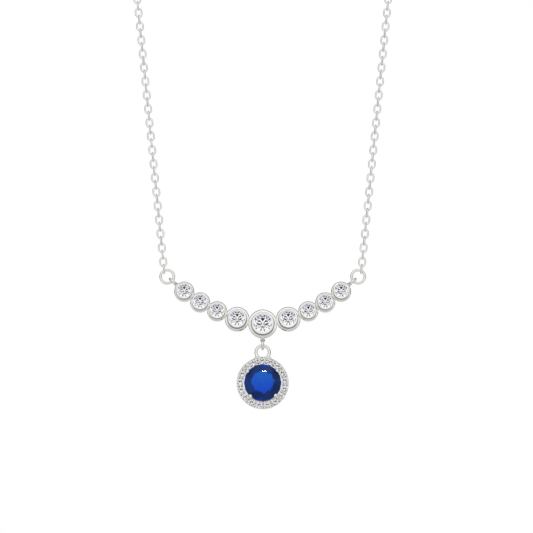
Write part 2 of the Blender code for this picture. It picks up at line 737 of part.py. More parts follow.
def build():
    for old in list(bpy.data.objects):
        bpy.data.objects.remove(old, do_unlink=True)

    silver = principled("polished_silver", (0.88, 0.88, 0.87), 1.0, 0.12)
    steel = principled("spring_steel", (0.62, 0.63, 0.65), 1.0, 0.3)
    clear = principled("clear_stone", (0.97, 0.97, 1.0), 0.0, 0.0, 1.0, 2.17)
    blue = principled("blue_stone_glass", (0.03, 0.10, 0.50), 0.0, 0.0, 0.8, 1.77)

    # Clasp across the nape; its rings lie flat and its ends are drawn level about X = 0
    claw_inner = CLAW_LENGTH / 2 - CLAW_WALL
    end_ring_hole = (END_RING_RADIUS - END_RING_WIRE / 2) * math.cos(math.pi / RING_SEGMENTS) - HOOK_GAP
    end_ring_x = claw_inner + math.sqrt(end_ring_hole ** 2 - (CLAW_THICK / 2) ** 2)
    right_end = end_ring_x + END_RING_RADIUS - END_RING_WIRE / 2 - HOOK_GAP - LINK_WIRE + LINK_LENGTH / 2
    eye_outer = CLAW_LENGTH / 2 + 2 * EYE_RADIUS
    clasp_ring_x = eye_outer - EYE_WIRE / 2 - HOOK_GAP - RING_WIRE / 2 + RING_RADIUS
    left_end = clasp_ring_x + RING_RADIUS - RING_WIRE / 2 - HOOK_GAP - LINK_WIRE + LINK_LENGTH / 2
    shift = (left_end - right_end) / 2
    nape_half = (left_end + right_end) / 2
    nape_plane = CLAW_THICK / 2
    nape = empty("nape", None, (0.0, nape_plane, 0.0))
    clasp_place = Vector((shift, 0.0, 0.0))
    upright = Vector((0.0, 0.0, 1.0))
    clasp_body(silver, nape, clasp_place)
    trigger_axis = empty("trigger_axis", nape, clasp_place + pin_place())
    clasp_trigger(silver, trigger_axis)
    clasp_pin(silver, trigger_axis)
    clasp_spring(steel, trigger_axis)
    clasp_ring_place = (shift - clasp_ring_x, 0.0, 0.0)
    end_ring_place = (shift + end_ring_x, 0.0, 0.0)
    single_ring("clasp_ring", silver, nape, clasp_ring_place, RING_RADIUS, RING_WIRE, upright)
    single_ring("end_ring", silver, nape, end_ring_place, END_RING_RADIUS, END_RING_WIRE, upright)

    # Front plane, measured from the centre bezel: hinge heights up one strand
    layout = bezel_layout()
    last, stone, wall, _ = layout[-1]
    loop_heading = Vector((math.cos(math.radians(END_LOOP_DEG)), 0.0, math.sin(math.radians(END_LOOP_DEG))))
    bezel_end = Vector((last.x, 0.0, last.y))
    loop_end = stone / 2 + wall + END_LOOP_REACH
    loop_hook = bezel_end + loop_heading * (loop_end - END_LOOP_WIRE / 2 - HOOK_GAP - RING_WIRE / 2)
    ring_centre = loop_hook + loop_heading * RING_RADIUS
    hook = math.radians(HOOK_DEG)
    chain_hook = ring_centre + Vector((math.sin(hook), 0.0, math.cos(hook))) * RING_RADIUS
    lowest_wire = chain_hook - STRAND * (RING_WIRE / 2 + HOOK_GAP + LINK_WIRE / 2)
    lower_hinge = lowest_wire + STRAND * run_span()
    upper_wire = lower_hinge - STRAND * (LINK_WIRE + HOOK_GAP)
    upper_hinge = upper_wire + STRAND * run_span()
    drop = -(CENTRE_STONE / 2 + CENTRE_WALL + DROP_LOOP_REACH)
    neck_height = upper_hinge.z + NECK_STRAIGHT + NECK_RISE
    front = empty("front_plane", nape, (0.0, -NECK_DEPTH, -neck_height))

    # Swing axes, each carried by the one above it
    front_swing = empty("front_swing_axis", front, (0.0, 0.0, upper_hinge.z))
    mid_swing = empty("mid_swing_axis", front_swing, (0.0, 0.0, lower_hinge.z - upper_hinge.z))
    ring_swing = empty("ring_swing_axis", mid_swing, (0.0, 0.0, chain_hook.z - lower_hinge.z))
    bar_swing = empty("bar_swing_axis", ring_swing, (0.0, 0.0, loop_hook.z - chain_hook.z))
    pendant_swing = empty("pendant_swing_axis", bar_swing, (0.0, 0.0, drop - loop_hook.z))

    for word, side in SIDES:
        mirror = Vector((side, 1.0, 1.0))
        lean = side * math.radians(STRAND_DEG)
        hinge = upper_hinge * mirror + front.location
        neck_chain("neck_chain_" + word, side, silver, nape, hinge, Vector((side * nape_half, 0.0, 0.0)))
        chain_run("chain_upper_" + word, silver, front_swing, (side * upper_hinge.x, 0.0, 0.0), lean)
        chain_run("chain_lower_" + word, silver, mid_swing, (side * lower_hinge.x, 0.0, 0.0), lean)
        ring_place = Vector((side * ring_centre.x, 0.0, ring_centre.z - chain_hook.z))
        axis = Vector((0.0, 1.0, 0.0))
        single_ring("jump_ring_" + word, silver, ring_swing, ring_place, RING_RADIUS, RING_WIRE, axis)

    # Bezel bar and its stones; the fixed rings lie in the hanging plane
    bar_place = Vector((0.0, LOOP_PLANE, -loop_hook.z))
    bezel_bar(silver, bar_swing, bar_place, layout)
    solid("bar_stone_centre", full_brilliant(CENTRE_STONE), clear, bar_swing, bar_place, FACE_FRONT, True)
    for number, (place, stone, _, _) in enumerate(layout, 1):
        for word, side in SIDES:
            spot = bar_place + Vector((side * place.x, 0.0, place.y))
            name = f"bar_stone_{word}_{number}"
            solid(name, full_brilliant(stone), clear, bar_swing, spot, FACE_FRONT, True)

    # Pendant: the bail ring hangs on the ring below the bar
    bail_top = DROP_LOOP_WIRE / 2 + HOOK_GAP + BAIL_WIRE / 2
    halo_drop = 2 * BAIL_RADIUS - bail_top - BAIL_SINK + HALO_RADIUS
    halo_place = Vector((0.0, -HALO_PLATE / 2, -halo_drop))
    pendant_frame(silver, pendant_swing, halo_place)
    blue_place = halo_place + Vector((0.0, -blue_seat(), 0.0))
    solid("blue_stone", full_brilliant(BLUE_STONE), blue, pendant_swing, blue_place, FACE_FRONT, True)
    for i in range(HALO_COUNT):
        spot = on_halo(i, HALO_PITCH_RADIUS, -HALO_SINK)
        place = halo_place + Vector((spot.x, -spot.z, spot.y))
        name = f"halo_stone_{i + 1:02d}"
        solid(name, single_cut(HALO_STONE), clear, pendant_swing, place, FACE_FRONT, True)


build()
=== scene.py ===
import json
import math

import bmesh
import bpy
from mathutils import Matrix, Vector


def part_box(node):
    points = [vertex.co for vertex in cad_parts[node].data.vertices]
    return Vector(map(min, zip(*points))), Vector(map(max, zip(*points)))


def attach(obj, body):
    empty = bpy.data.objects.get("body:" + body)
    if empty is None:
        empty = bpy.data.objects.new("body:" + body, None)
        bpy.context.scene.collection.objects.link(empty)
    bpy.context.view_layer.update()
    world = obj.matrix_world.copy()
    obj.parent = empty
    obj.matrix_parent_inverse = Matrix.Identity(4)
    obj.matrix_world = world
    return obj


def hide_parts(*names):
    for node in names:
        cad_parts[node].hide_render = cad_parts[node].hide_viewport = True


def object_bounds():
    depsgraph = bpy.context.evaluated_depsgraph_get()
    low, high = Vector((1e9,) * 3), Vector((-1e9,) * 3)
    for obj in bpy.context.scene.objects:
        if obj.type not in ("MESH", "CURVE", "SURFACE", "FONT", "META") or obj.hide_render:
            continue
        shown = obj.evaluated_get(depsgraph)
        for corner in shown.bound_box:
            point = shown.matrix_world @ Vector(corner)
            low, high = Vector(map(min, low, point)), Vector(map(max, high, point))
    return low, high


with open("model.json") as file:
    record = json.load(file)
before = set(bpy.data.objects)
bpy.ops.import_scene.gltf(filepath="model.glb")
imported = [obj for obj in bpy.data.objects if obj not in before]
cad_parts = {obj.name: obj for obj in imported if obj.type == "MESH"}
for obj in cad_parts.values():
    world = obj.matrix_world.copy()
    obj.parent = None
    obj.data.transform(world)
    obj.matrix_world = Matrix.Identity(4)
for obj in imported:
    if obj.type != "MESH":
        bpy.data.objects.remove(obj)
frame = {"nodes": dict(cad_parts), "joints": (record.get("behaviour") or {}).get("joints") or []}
cad_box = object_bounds()

# Neck chain: cable chain of oval links, each bent from round silver wire, closed through the one
# before it and turned a quarter from it. Two equal lengths run over the shoulders to the clasp.
MM = 0.001
LINK_PITCH = 1.161 * MM
LINK_WIRE = 0.28 * MM
LINK_WIDTH = 1.25 * MM
LINK_LENGTH = LINK_PITCH + 2 * LINK_WIRE
LINK_PLAY_DEG = 5.0
LINK_SEED = 7
STRAND_DEG = 5.9
RING_RADIUS = 1.075 * MM
HOOK_DEG = 28.0
NECK_FIRST_LINK = 0.4005 * MM
NECK_STRAIGHT = 42.0 * MM
NECK_HANDLE_UP = 42.0 * MM
NECK_HANDLE_ROUND = 27.0 * MM
NECK_CURVE_STEPS = 120
NAPE_LINK_X = 6.508 * MM
NAPE_PLANE_Y = 0.75 * MM
BEND_SHARE = 0.499
SILVER_BRIGHT = (0.955, 0.955, 0.945)
SILVER_SOFT = (0.86, 0.865, 0.85)
# Colour of the painted shade in grooves, on cup walls, on the channel floor and on the bar's back edge
SILVER_RECESS_SHADE = (0.22, 0.225, 0.20)
RECESS_ROUGH = 0.35
POLISH_ROUGH = (0.04, 0.10)
POLISH_BUMP = 0.05
POLISH_RELIEF = 0.01 * MM
CLOUD_DETAIL = 3.0
CLOUD_EDGES = (0.35, 0.7)
HAIRLINE_DETAIL = 2.0
HAIRLINE_STRETCH = (1.0, 1.0, 0.12)
HAIRLINE_EDGES = (0.3, 0.75)


def middle(node):
    """The middle of a CAD piece's box."""
    low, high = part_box(node)
    return (low + high) / 2


def add_node(tree, kind, inputs=None, **settings):
    """A node with its settings and inputs. A value is set on the input, a socket is linked to it."""
    node = tree.nodes.new(kind)
    for name, value in settings.items():
        setattr(node, name, value)
    for name, value in (inputs or {}).items():
        socket = node.inputs[name]
        if isinstance(value, bpy.types.NodeSocket):
            tree.links.new(value, socket)
        else:
            socket.default_value = value
    return node


def blend(tree, factor, first, second, kind="MIX"):
    """A mix of two colours, each a socket or a plain colour."""
    inputs = {"Factor": factor, 6: first, 7: second}
    return add_node(tree, "ShaderNodeMix", inputs, data_type="RGBA", blend_type=kind).outputs[2]


def reckon(tree, operation, *values):
    """One sum of numbers and sockets."""
    return add_node(tree, "ShaderNodeMath", dict(enumerate(values)), operation=operation).outputs[0]


def new_tree(name, kind, inputs, outputs):
    """An empty node tree with named sockets, and its input and output nodes."""
    tree = bpy.data.node_groups.new(name, kind)
    for label, socket in inputs:
        tree.interface.new_socket(label, in_out="INPUT", socket_type=socket)
    for label, socket in outputs:
        tree.interface.new_socket(label, in_out="OUTPUT", socket_type=socket)
    return tree, tree.nodes.new("NodeGroupInput"), tree.nodes.new("NodeGroupOutput")


def polish_and_recess_shade_group():
    """Faint cloudiness and hairlines that a polishing wheel leaves on silver, and painted shade in
    recesses.
    """
    tree, given, result = new_tree(
        "polish_and_recess_shade",
        "ShaderNodeTree",
        (
            ("Cloud Size", "NodeSocketFloat"),
            ("Hairline Size", "NodeSocketFloat"),
            ("Bright", "NodeSocketColor"),
            ("Soft", "NodeSocketColor"),
            ("Least Rough", "NodeSocketFloat"),
            ("Most Rough", "NodeSocketFloat"),
            ("Recess Shade", "NodeSocketColor"),
        ),
        (("Colour", "NodeSocketColor"), ("Roughness", "NodeSocketFloat"), ("Height", "NodeSocketFloat")),
    )
    where = add_node(tree, "ShaderNodeTexCoord").outputs["Object"]
    cloud = add_node(
        tree,
        "ShaderNodeTexNoise",
        {"Vector": where, "Scale": given.outputs["Cloud Size"], "Detail": CLOUD_DETAIL},
    )
    spread = add_node(
        tree,
        "ShaderNodeMapRange",
        {"Value": cloud.outputs["Fac"], "From Min": CLOUD_EDGES[0], "From Max": CLOUD_EDGES[1]},
    )
    stretch = add_node(tree, "ShaderNodeMapping", {"Vector": where, "Scale": HAIRLINE_STRETCH})
    hairline = add_node(
        tree,
        "ShaderNodeTexNoise",
        {
            "Vector": stretch.outputs["Vector"],
            "Scale": given.outputs["Hairline Size"],
            "Detail": HAIRLINE_DETAIL,
        },
    )
    rough = add_node(
        tree,
        "ShaderNodeMapRange",
        {
            "Value": hairline.outputs["Fac"],
            "From Min": HAIRLINE_EDGES[0],
            "From Max": HAIRLINE_EDGES[1],
            "To Min": given.outputs["Least Rough"],
            "To Max": given.outputs["Most Rough"],
        },
    )
    recess_shade_share = add_node(tree, "ShaderNodeAttribute", attribute_name="recess_shade").outputs["Fac"]
    colour = blend(tree, spread.outputs["Result"], given.outputs["Bright"], given.outputs["Soft"])
    painted_recess = blend(tree, recess_shade_share, colour, given.outputs["Recess Shade"])
    dull_and_shade = add_node(tree, "ShaderNodeMix", {"Factor": recess_shade_share, 2: rough.outputs["Result"], 3: RECESS_ROUGH})
    tree.links.new(painted_recess, result.inputs["Colour"])
    tree.links.new(dull_and_shade.outputs[0], result.inputs["Roughness"])
    tree.links.new(hairline.outputs["Fac"], result.inputs["Height"])
    return tree


polish_and_recess_shade = polish_and_recess_shade_group()


def new_finish(name):
    """A new material, its node tree and its shader."""
    material = bpy.data.materials.new(name)
    material.use_nodes = True
    tree = material.node_tree
    return material, tree, tree.nodes["Principled BSDF"]


def metal_finish(name, bright, soft, cloud_size, hairline_size, rough, bump):
    """A metal whose tint, gloss and fine relief follow the polishing, with painted shade in its
    recesses.
    """
    material, tree, shader = new_finish(name)
    shader.inputs["Metallic"].default_value = 1.0
    polish_and_shade = add_node(
        tree,
        "ShaderNodeGroup",
        {
            "Cloud Size": cloud_size,
            "Hairline Size": hairline_size,
            "Bright": (*bright, 1.0),
            "Soft": (*soft, 1.0),
            "Least Rough": rough[0],
            "Most Rough": rough[1],
            "Recess Shade": (*SILVER_RECESS_SHADE, 1.0),
        },
        node_tree=polish_and_recess_shade,
    )
    relief = add_node(
        tree,
        "ShaderNodeBump",
        {"Strength": bump, "Distance": POLISH_RELIEF, "Height": polish_and_shade.outputs["Height"]},
    )
    tree.links.new(polish_and_shade.outputs["Colour"], shader.inputs["Base Color"])
    tree.links.new(polish_and_shade.outputs["Roughness"], shader.inputs["Roughness"])
    tree.links.new(relief.outputs["Normal"], shader.inputs["Normal"])
    return material


def planted(tree, points, shape, turn, material):
    """A smooth shape at each point, made real and given its material."""
    smooth = add_node(tree, "GeometryNodeSetShadeSmooth", {"Geometry": shape})
    placed = add_node(
        tree,
        "GeometryNodeInstanceOnPoints",
        {"Points": points, "Instance": smooth.outputs["Geometry"], "Rotation": turn},
    )
    real = add_node(tree, "GeometryNodeRealizeInstances", {"Geometry": placed.outputs["Instances"]})
    finish = add_node(
        tree, "GeometryNodeSetMaterial", {"Geometry": real.outputs["Geometry"], "Material": material}
    )
    return finish.outputs["Geometry"]


def chain_tree():
    """Links along a route, each a quarter turn from the last, with a little play."""
    tree, given, result = new_tree(
        "cable_chain",
        "GeometryNodeTree",
        (
            ("Route", "NodeSocketGeometry"),
            ("Links", "NodeSocketInt"),
            ("Link Length", "NodeSocketFloat"),
            ("Link Width", "NodeSocketFloat"),
            ("Wire", "NodeSocketFloat"),
            ("Bend Steps", "NodeSocketInt"),
            ("Wire Sides", "NodeSocketInt"),
            ("First Turn", "NodeSocketFloat"),
            ("Play", "NodeSocketFloat"),
            ("Seed", "NodeSocketInt"),
            ("Silver", "NodeSocketMaterial"),
        ),
        (("Chain", "NodeSocketGeometry"),),
    )
    route = add_node(tree, "GeometryNodeMeshToCurve", {"Mesh": given.outputs["Route"]})
    spots = add_node(
        tree,
        "GeometryNodeResampleCurve",
        {"Curve": route.outputs["Curve"], "Count": given.outputs["Links"]},
    )
    tangent = add_node(tree, "GeometryNodeInputTangent")
    along = add_node(
        tree, "FunctionNodeAlignRotationToVector", {"Vector": tangent.outputs["Tangent"]}, axis="Z"
    )
    square = add_node(
        tree,
        "FunctionNodeAlignRotationToVector",
        {"Rotation": along.outputs["Rotation"], "Vector": (0.0, 1.0, 0.0)},
        axis="X",
        pivot_axis="Z",
    )
    number = add_node(tree, "GeometryNodeInputIndex").outputs["Index"]
    quarter = reckon(tree, "MULTIPLY_ADD", number, math.pi / 2, given.outputs["First Turn"])
    least = reckon(tree, "MULTIPLY", given.outputs["Play"], -1.0)
    play = add_node(
        tree,
        "FunctionNodeRandomValue",
        {2: least, 3: given.outputs["Play"], "Seed": given.outputs["Seed"]},
        data_type="FLOAT",
    )
    turn = reckon(tree, "ADD", quarter, play.outputs[1])
    spin = add_node(tree, "ShaderNodeCombineXYZ", {"Z": turn})
    spin_turn = add_node(tree, "FunctionNodeEulerToRotation", {"Euler": spin.outputs["Vector"]})
    facing = add_node(
        tree,
        "FunctionNodeRotateRotation",
        {"Rotation": square.outputs["Rotation"], "Rotate By": spin_turn.outputs["Rotation"]},
        rotation_space="LOCAL",
    )
    wide = reckon(tree, "SUBTRACT", given.outputs["Link Width"], given.outputs["Wire"])
    tall = reckon(tree, "SUBTRACT", given.outputs["Link Length"], given.outputs["Wire"])
    outline = add_node(tree, "GeometryNodeCurvePrimitiveQuadrilateral", {"Width": wide, "Height": tall})
    bend = reckon(tree, "MULTIPLY", wide, BEND_SHARE)
    rounded = add_node(
        tree,
        "GeometryNodeFilletCurve",
        {"Curve": outline.outputs["Curve"], "Count": given.outputs["Bend Steps"], "Radius": bend},
        mode="POLY",
    )
    upright = add_node(
        tree,
        "GeometryNodeTransform",
        {"Geometry": rounded.outputs["Curve"], "Rotation": (math.pi / 2, 0.0, 0.0)},
    )
    half_wire = reckon(tree, "MULTIPLY", given.outputs["Wire"], 0.5)
    section = add_node(
        tree,
        "GeometryNodeCurvePrimitiveCircle",
        {"Resolution": given.outputs["Wire Sides"], "Radius": half_wire},
    )
    link = add_node(
        tree,
        "GeometryNodeCurveToMesh",
        {"Curve": upright.outputs["Geometry"], "Profile Curve": section.outputs["Curve"]},
    )
    chain = planted(
        tree,
        spots.outputs["Curve"],
        link.outputs["Mesh"],
        facing.outputs["Rotation"],
        given.outputs["Silver"],
    )
    tree.links.new(chain, result.inputs["Chain"])
    return tree


def grown(name, start, tree, values, material):
    """The plain mesh object that a tree grows from a starting mesh."""
    seedling = bpy.data.objects.new(name, start)
    bpy.context.scene.collection.objects.link(seedling)
    modifier = seedling.modifiers.new(name, "NODES")
    modifier.node_group = tree
    for item in tree.interface.items_tree:
        if item.in_out == "INPUT" and item.name in values:
            modifier[item.identifier] = values[item.name]
    depsgraph = bpy.context.evaluated_depsgraph_get()
    mesh = bpy.data.meshes.new_from_object(seedling.evaluated_get(depsgraph))
    seedling.modifiers.remove(modifier)
    mesh.name = name
    mesh.materials.clear()
    mesh.materials.append(material)
    seedling.data = mesh
    return seedling


def polyline(name, routes):
    """A mesh of open lines through points."""
    verts = []
    edges = []
    for route in routes:
        first = len(verts)
        verts.extend(route)
        edges.extend((first + i, first + i + 1) for i in range(len(route) - 1))
    mesh = bpy.data.meshes.new(name)
    mesh.from_pydata(verts, edges, [])
    return mesh


joint_at = {joint["name"]: Vector(joint["pos_m"]) for joint in frame["joints"]}
ring_centre = middle("jump_ring_right")
hook_turn = math.radians(HOOK_DEG)
chain_hook = ring_centre + Vector((math.sin(hook_turn), 0.0, math.cos(hook_turn))) * RING_RADIUS


def on_strand(side, height):
    """A point on a front strand, to the left (-1) or the right (1), at a height."""
    x = chain_hook.x + (height - chain_hook.z) * math.tan(math.radians(STRAND_DEG))
    return Vector((side * x, chain_hook.y, height))


def strand_way(side):
    """The way that a front strand rises."""
    turn = math.radians(STRAND_DEG)
    return Vector((side * math.sin(turn), 0.0, math.cos(turn)))


def bezier_point(a, b, c, d, t):
    s = 1 - t
    return a * s ** 3 + b * (3 * s * s * t) + c * (3 * s * t * t) + d * t ** 3


def neck_route(side):
    """From the link that carries a front strand, up and over the shoulder to the nape."""
    way = strand_way(side)
    first = on_strand(side, joint_at["front_swing"].z) + way * NECK_FIRST_LINK
    shoulder = first + way * NECK_STRAIGHT
    last = Vector((side * NAPE_LINK_X, NAPE_PLANE_Y, 0.0))
    up = shoulder + way * NECK_HANDLE_UP
    round_neck = last + Vector((side * NECK_HANDLE_ROUND, 0.0, 0.0))
    route = [first]
    for i in range(NECK_CURVE_STEPS + 1):
        route.append(bezier_point(shoulder, up, round_neck, last, i / NECK_CURVE_STEPS))
    return route


def route_length(route):
    return sum((b - a).length for a, b in zip(route, route[1:]))


silver = metal_finish(
    "polished_silver_wire",
    SILVER_BRIGHT,
    SILVER_SOFT,
    cloud_size=900.0,
    hairline_size=6000.0,
    rough=POLISH_ROUGH,
    bump=POLISH_BUMP,
)
cable_chain = chain_tree()
link_sizes = {
    "Link Length": LINK_LENGTH,
    "Link Width": LINK_WIDTH,
    "Wire": LINK_WIRE,
    "Bend Steps": 4,
    "Wire Sides": 6,
    "First Turn": 0.0,
    "Play": math.radians(LINK_PLAY_DEG),
    "Seed": LINK_SEED,
    "Silver": silver,
}
neck_routes = [neck_route(-1), neck_route(1)]
neck_links = 2 * round((route_length(neck_routes[0]) / LINK_PITCH + 1) / 2)
neck_chain = grown(
    "neck_chain_links",
    polyline("neck_chain_route", neck_routes),
    cable_chain,
    {**link_sizes, "Links": neck_links},
    silver,
)
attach(neck_chain, "neck_loop")
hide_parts("neck_chain_left", "neck_chain_right")

# Front strands: the same chain, twenty links to each hanging run on either side, a face-on link at
# the top and an edge-on link at the bottom, so that each run hooks into the one above it.
RUN_LINKS = 20
RUN_FIRST_LINK = 0.7005 * MM


def run_route(side, hinge_height):
    """From a run's top link to its bottom link."""
    way = strand_way(side)
    first = on_strand(side, hinge_height) - way * RUN_FIRST_LINK
    return [first, first - way * (RUN_LINKS - 1) * LINK_PITCH]


run_sizes = {
    **link_sizes,
    "Links": RUN_LINKS,
    "First Turn": math.pi / 2,
    "Bend Steps": 6,
    "Wire Sides": 10,
}
front_runs = (
    ("upper_chain_links", "front_swing", "upper_chains", "chain_upper_"),
    ("lower_chain_links", "mid_swing", "lower_chains", "chain_lower_"),
)
for name, hinge, body, node in front_runs:
    height = joint_at[hinge].z
    run_routes = [run_route(-1, height), run_route(1, height)]
    run = grown(name, polyline(name, run_routes), cable_chain, run_sizes, silver)
    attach(run, body)
    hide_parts(node + "left", node + "right")

# Lobster clasp: cast in silver, its corners rounded in the barrel, with a lever riveted into a slot
# and closed by a small steel torsion spring.
CLASP_VOXEL = 0.045 * MM
LEVER_VOXEL = 0.03 * MM
WELD_DISTANCE = 0.0001 * MM
BARREL_SHARE = 0.5
BARREL_ROUNDS = 6
STEEL_BRIGHT = (0.68, 0.69, 0.71)
STEEL_SOFT = (0.5, 0.51, 0.53)


def cast_copy(name, node, voxel, material):
    """A CAD piece as a casting: the same solid with its corners rounded."""
    bm = bmesh.new()
    bm.from_mesh(frame["nodes"][node].data)
    bmesh.ops.remove_doubles(bm, verts=bm.verts, dist=WELD_DISTANCE)
    mesh = bpy.data.meshes.new(name)
    bm.to_mesh(mesh)
    bm.free()
    blank = bpy.data.objects.new(name, mesh)
    bpy.context.scene.collection.objects.link(blank)
    remesh = blank.modifiers.new("casting", "REMESH")
    remesh.mode = "VOXEL"
    remesh.voxel_size = voxel
    barrel = blank.modifiers.new("barrel", "SMOOTH")
    barrel.factor = BARREL_SHARE
    barrel.iterations = BARREL_ROUNDS
    depsgraph = bpy.context.evaluated_depsgraph_get()
    cast = bpy.data.meshes.new_from_object(blank.evaluated_get(depsgraph))
    blank.modifiers.clear()
    cast.name = name
    cast.materials.clear()
    cast.materials.append(material)
    cast.shade_smooth()
    blank.data = cast
    return blank


def refinish(node, material):
    """A CAD piece keeps its shape and gets a better finish."""
    finishes = frame["nodes"][node].data.materials
    finishes.clear()
    finishes.append(material)


cast_silver = metal_finish(
    "polished_silver_cast",
    SILVER_BRIGHT,
    SILVER_SOFT,
    cloud_size=700.0,
    hairline_size=4000.0,
    rough=POLISH_ROUGH,
    bump=POLISH_BUMP,
)
claw = cast_copy("clasp_claw", "clasp_body", CLASP_VOXEL, cast_silver)
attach(claw, "neck_loop")
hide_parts("clasp_body")
lever = cast_copy("clasp_lever", "clasp_trigger", LEVER_VOXEL, cast_silver)
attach(lever, "trigger")
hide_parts("clasp_trigger")

rivet_silver = metal_finish(
    "rivet_silver",
    SILVER_BRIGHT,
    SILVER_SOFT,
    cloud_size=1500.0,
    hairline_size=9000.0,
    rough=(0.1, 0.22),
    bump=0.4,
)
refinish("clasp_pin", rivet_silver)
spring_steel = metal_finish(
    "drawn_spring_steel",
    STEEL_BRIGHT,
    STEEL_SOFT,
    cloud_size=2500.0,
    hairline_size=9000.0,
    rough=(0.2, 0.4),
    bump=0.5,
)
refinish("clasp_spring", spring_steel)

# Jump rings: round silver wire wound on a mandrel, sawn through and closed with a butt joint. One
# ring hooks the clasp's eye, a wider one is what the claw closes on, and two carry the bar.
RING_WIRE = 0.43 * MM
END_RING_RADIUS = 1.75 * MM
END_RING_WIRE = 0.5 * MM
BUTT_GAP_DEG = 1.2
RING_STEPS = 72
RING_SIDES = 14
SMOOTH_DEG = 40.0
X_WAY = Vector((1.0, 0.0, 0.0))
Y_WAY = Vector((0.0, 1.0, 0.0))
Z_WAY = Vector((0.0, 0.0, 1.0))


def sweep(bm, path, radii, sides, normal):
    """A round wire along an open path with a radius at each point, closed at both ends."""
    rings = []
    count = len(path)
    for i, point in enumerate(path):
        before = path[max(i - 1, 0)]
        after = path[min(i + 1, count - 1)]
        along = (after - before).normalized()
        normal = (normal - along * normal.dot(along)).normalized()
        across = along.cross(normal)
        ring = []
        for k in range(sides):
            angle = 2 * math.pi * k / sides
            outward = normal * math.cos(angle) + across * math.sin(angle)
            ring.append(bm.verts.new(point + outward * radii[i]))
        rings.append(ring)
    for lower, upper in zip(rings, rings[1:]):
        for k in range(sides):
            j = (k + 1) % sides
            bm.faces.new((lower[k], lower[j], upper[j], upper[k]))
    bm.faces.new(reversed(rings[0]))
    bm.faces.new(rings[-1])


def piece(name, bm, material, smooth_deg=SMOOTH_DEG):
    """A named object from a bmesh, with outward faces and its round sides smooth."""
    bmesh.ops.recalc_face_normals(bm, faces=bm.faces)
    mesh = bpy.data.meshes.new(name)
    bm.to_mesh(mesh)
    bm.free()
    mesh.materials.append(material)
    mesh.shade_smooth()
    mesh.set_sharp_from_angle(angle=math.radians(smooth_deg))
    thing = bpy.data.objects.new(name, mesh)
    bpy.context.scene.collection.objects.link(thing)
    return thing


def jump_ring(bm, centre, radius, wire, first, second, seam_deg):
    """A sawn ring in the plane of two directions, its butt joint at an angle from the first."""
    path = []
    for i in range(RING_STEPS + 1):
        share = i / RING_STEPS
        angle = math.radians(seam_deg + BUTT_GAP_DEG / 2 + (360.0 - BUTT_GAP_DEG) * share)
        path.append(centre + (first * math.cos(angle) + second * math.sin(angle)) * radius)
    sweep(bm, path, [wire / 2] * len(path), RING_SIDES, first.cross(second))


clasp_rings = (
    ("clasp_link_ring", "clasp_ring", RING_RADIUS, RING_WIRE, 60.0),
    ("clasp_end_ring", "end_ring", END_RING_RADIUS, END_RING_WIRE, 100.0),
)
for name, node, radius, wire, seam in clasp_rings:
    bm = bmesh.new()
    jump_ring(bm, middle(node), radius, wire, X_WAY, Y_WAY, seam)
    ring = piece(name, bm, silver)
    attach(ring, "neck_loop")
    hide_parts(node)
for word, seam in (("left", 200.0), ("right", -20.0)):
    bm = bmesh.new()
    jump_ring(bm, middle("jump_ring_" + word), RING_RADIUS, RING_WIRE, X_WAY, Z_WAY, seam)
    ring = piece("bar_ring_" + word, bm, silver)
    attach(ring, "jump_rings")
    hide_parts("jump_ring_" + word)

# Bezel bar: nine stepped bezels cast in one curve and polished, each a wide sloped collar with a
# bevelled edge and a narrower cup whose lip is burnished over the stone. Fillets fill the seams between
# the collars, and a bead and a loop of wire close each end and the middle.
CROWN_TAN = math.tan(math.radians(34.5))
PAVILION_TAN = math.tan(math.radians(41.0))
TABLE_SHARE = 0.57
GIRDLE_SHARE = 0.03
SEAT_GAP = 0.03 * MM
LIP_COVER = 0.04 * MM
LIP_THICK = 0.15 * MM
COLLAR_FRONT = -0.5 * MM
BEVEL_WIDTH = 0.12 * MM
BEVEL_DEG = 55.0
BEVEL_CREASE_DEG = 30.0
COLLAR_SLOPE_DEG = 16.0
WALL_LEAN = 0.12
WAIST_LEAN = 0.3
WAIST_DROP = 2.2
GROOVE = 0.08
WALL_FOOT = 0.1 * MM
# Painted shade on the bar's back edge, as a share of the recess colour
SIDE_DULL_SHADE = 0.1
FULL_STEP = 0.5 * MM
RIM_ROUND = 0.1 * MM
RIM_ROUND_DEG = 75.0
LIP_ROUND = 0.5
LIP_DROP = 0.9
LIP_ROUND_DEG = 80.0
BAR_DEPTH = 1.5 * MM
BEARING = 0.25 * MM
BEZEL_STEPS = 96
ROUND_STEPS = 5
# Radii of stone, cup and collar, numbered outwards from the centre
SMALL_BEZEL = (1.1 * MM, 1.29 * MM, 1.61 * MM)
BEZEL_SIZES = {
    "centre": (1.5 * MM, 1.82 * MM, 2.33 * MM),
    "1": (1.25 * MM, 1.52 * MM, 1.98 * MM),
    "2": SMALL_BEZEL,
    "3": SMALL_BEZEL,
    "4": SMALL_BEZEL,
}
BEAD_STEPS = 20
LOOP_RADIUS = 0.70 * MM
LOOP_WIRE = 0.42 * MM
END_BEAD = 0.36 * MM
END_BEAD_REACH = 1.76 * MM
END_LOOP_DEG = 41.7
END_LOOP_REACH = 3.14 * MM
DROP_BEAD = 0.41 * MM
DROP_BEAD_REACH = 2.68 * MM
DROP_LOOP_REACH = 4.09 * MM
FILLET_RADIUS = 0.3 * MM
FILLET_SINK = 0.03 * MM
FILLET_REACH = 0.6 * MM
# Shares of the fillet's reach, each with a share of its radius
FILLET_SHAPE = ((-1.0, 0.4), (-0.7, 0.9), (0.0, 1.0), (0.7, 0.9), (1.0, 0.4))
TO_FRONT = Matrix.Rotation(math.radians(90.0), 4, "X")


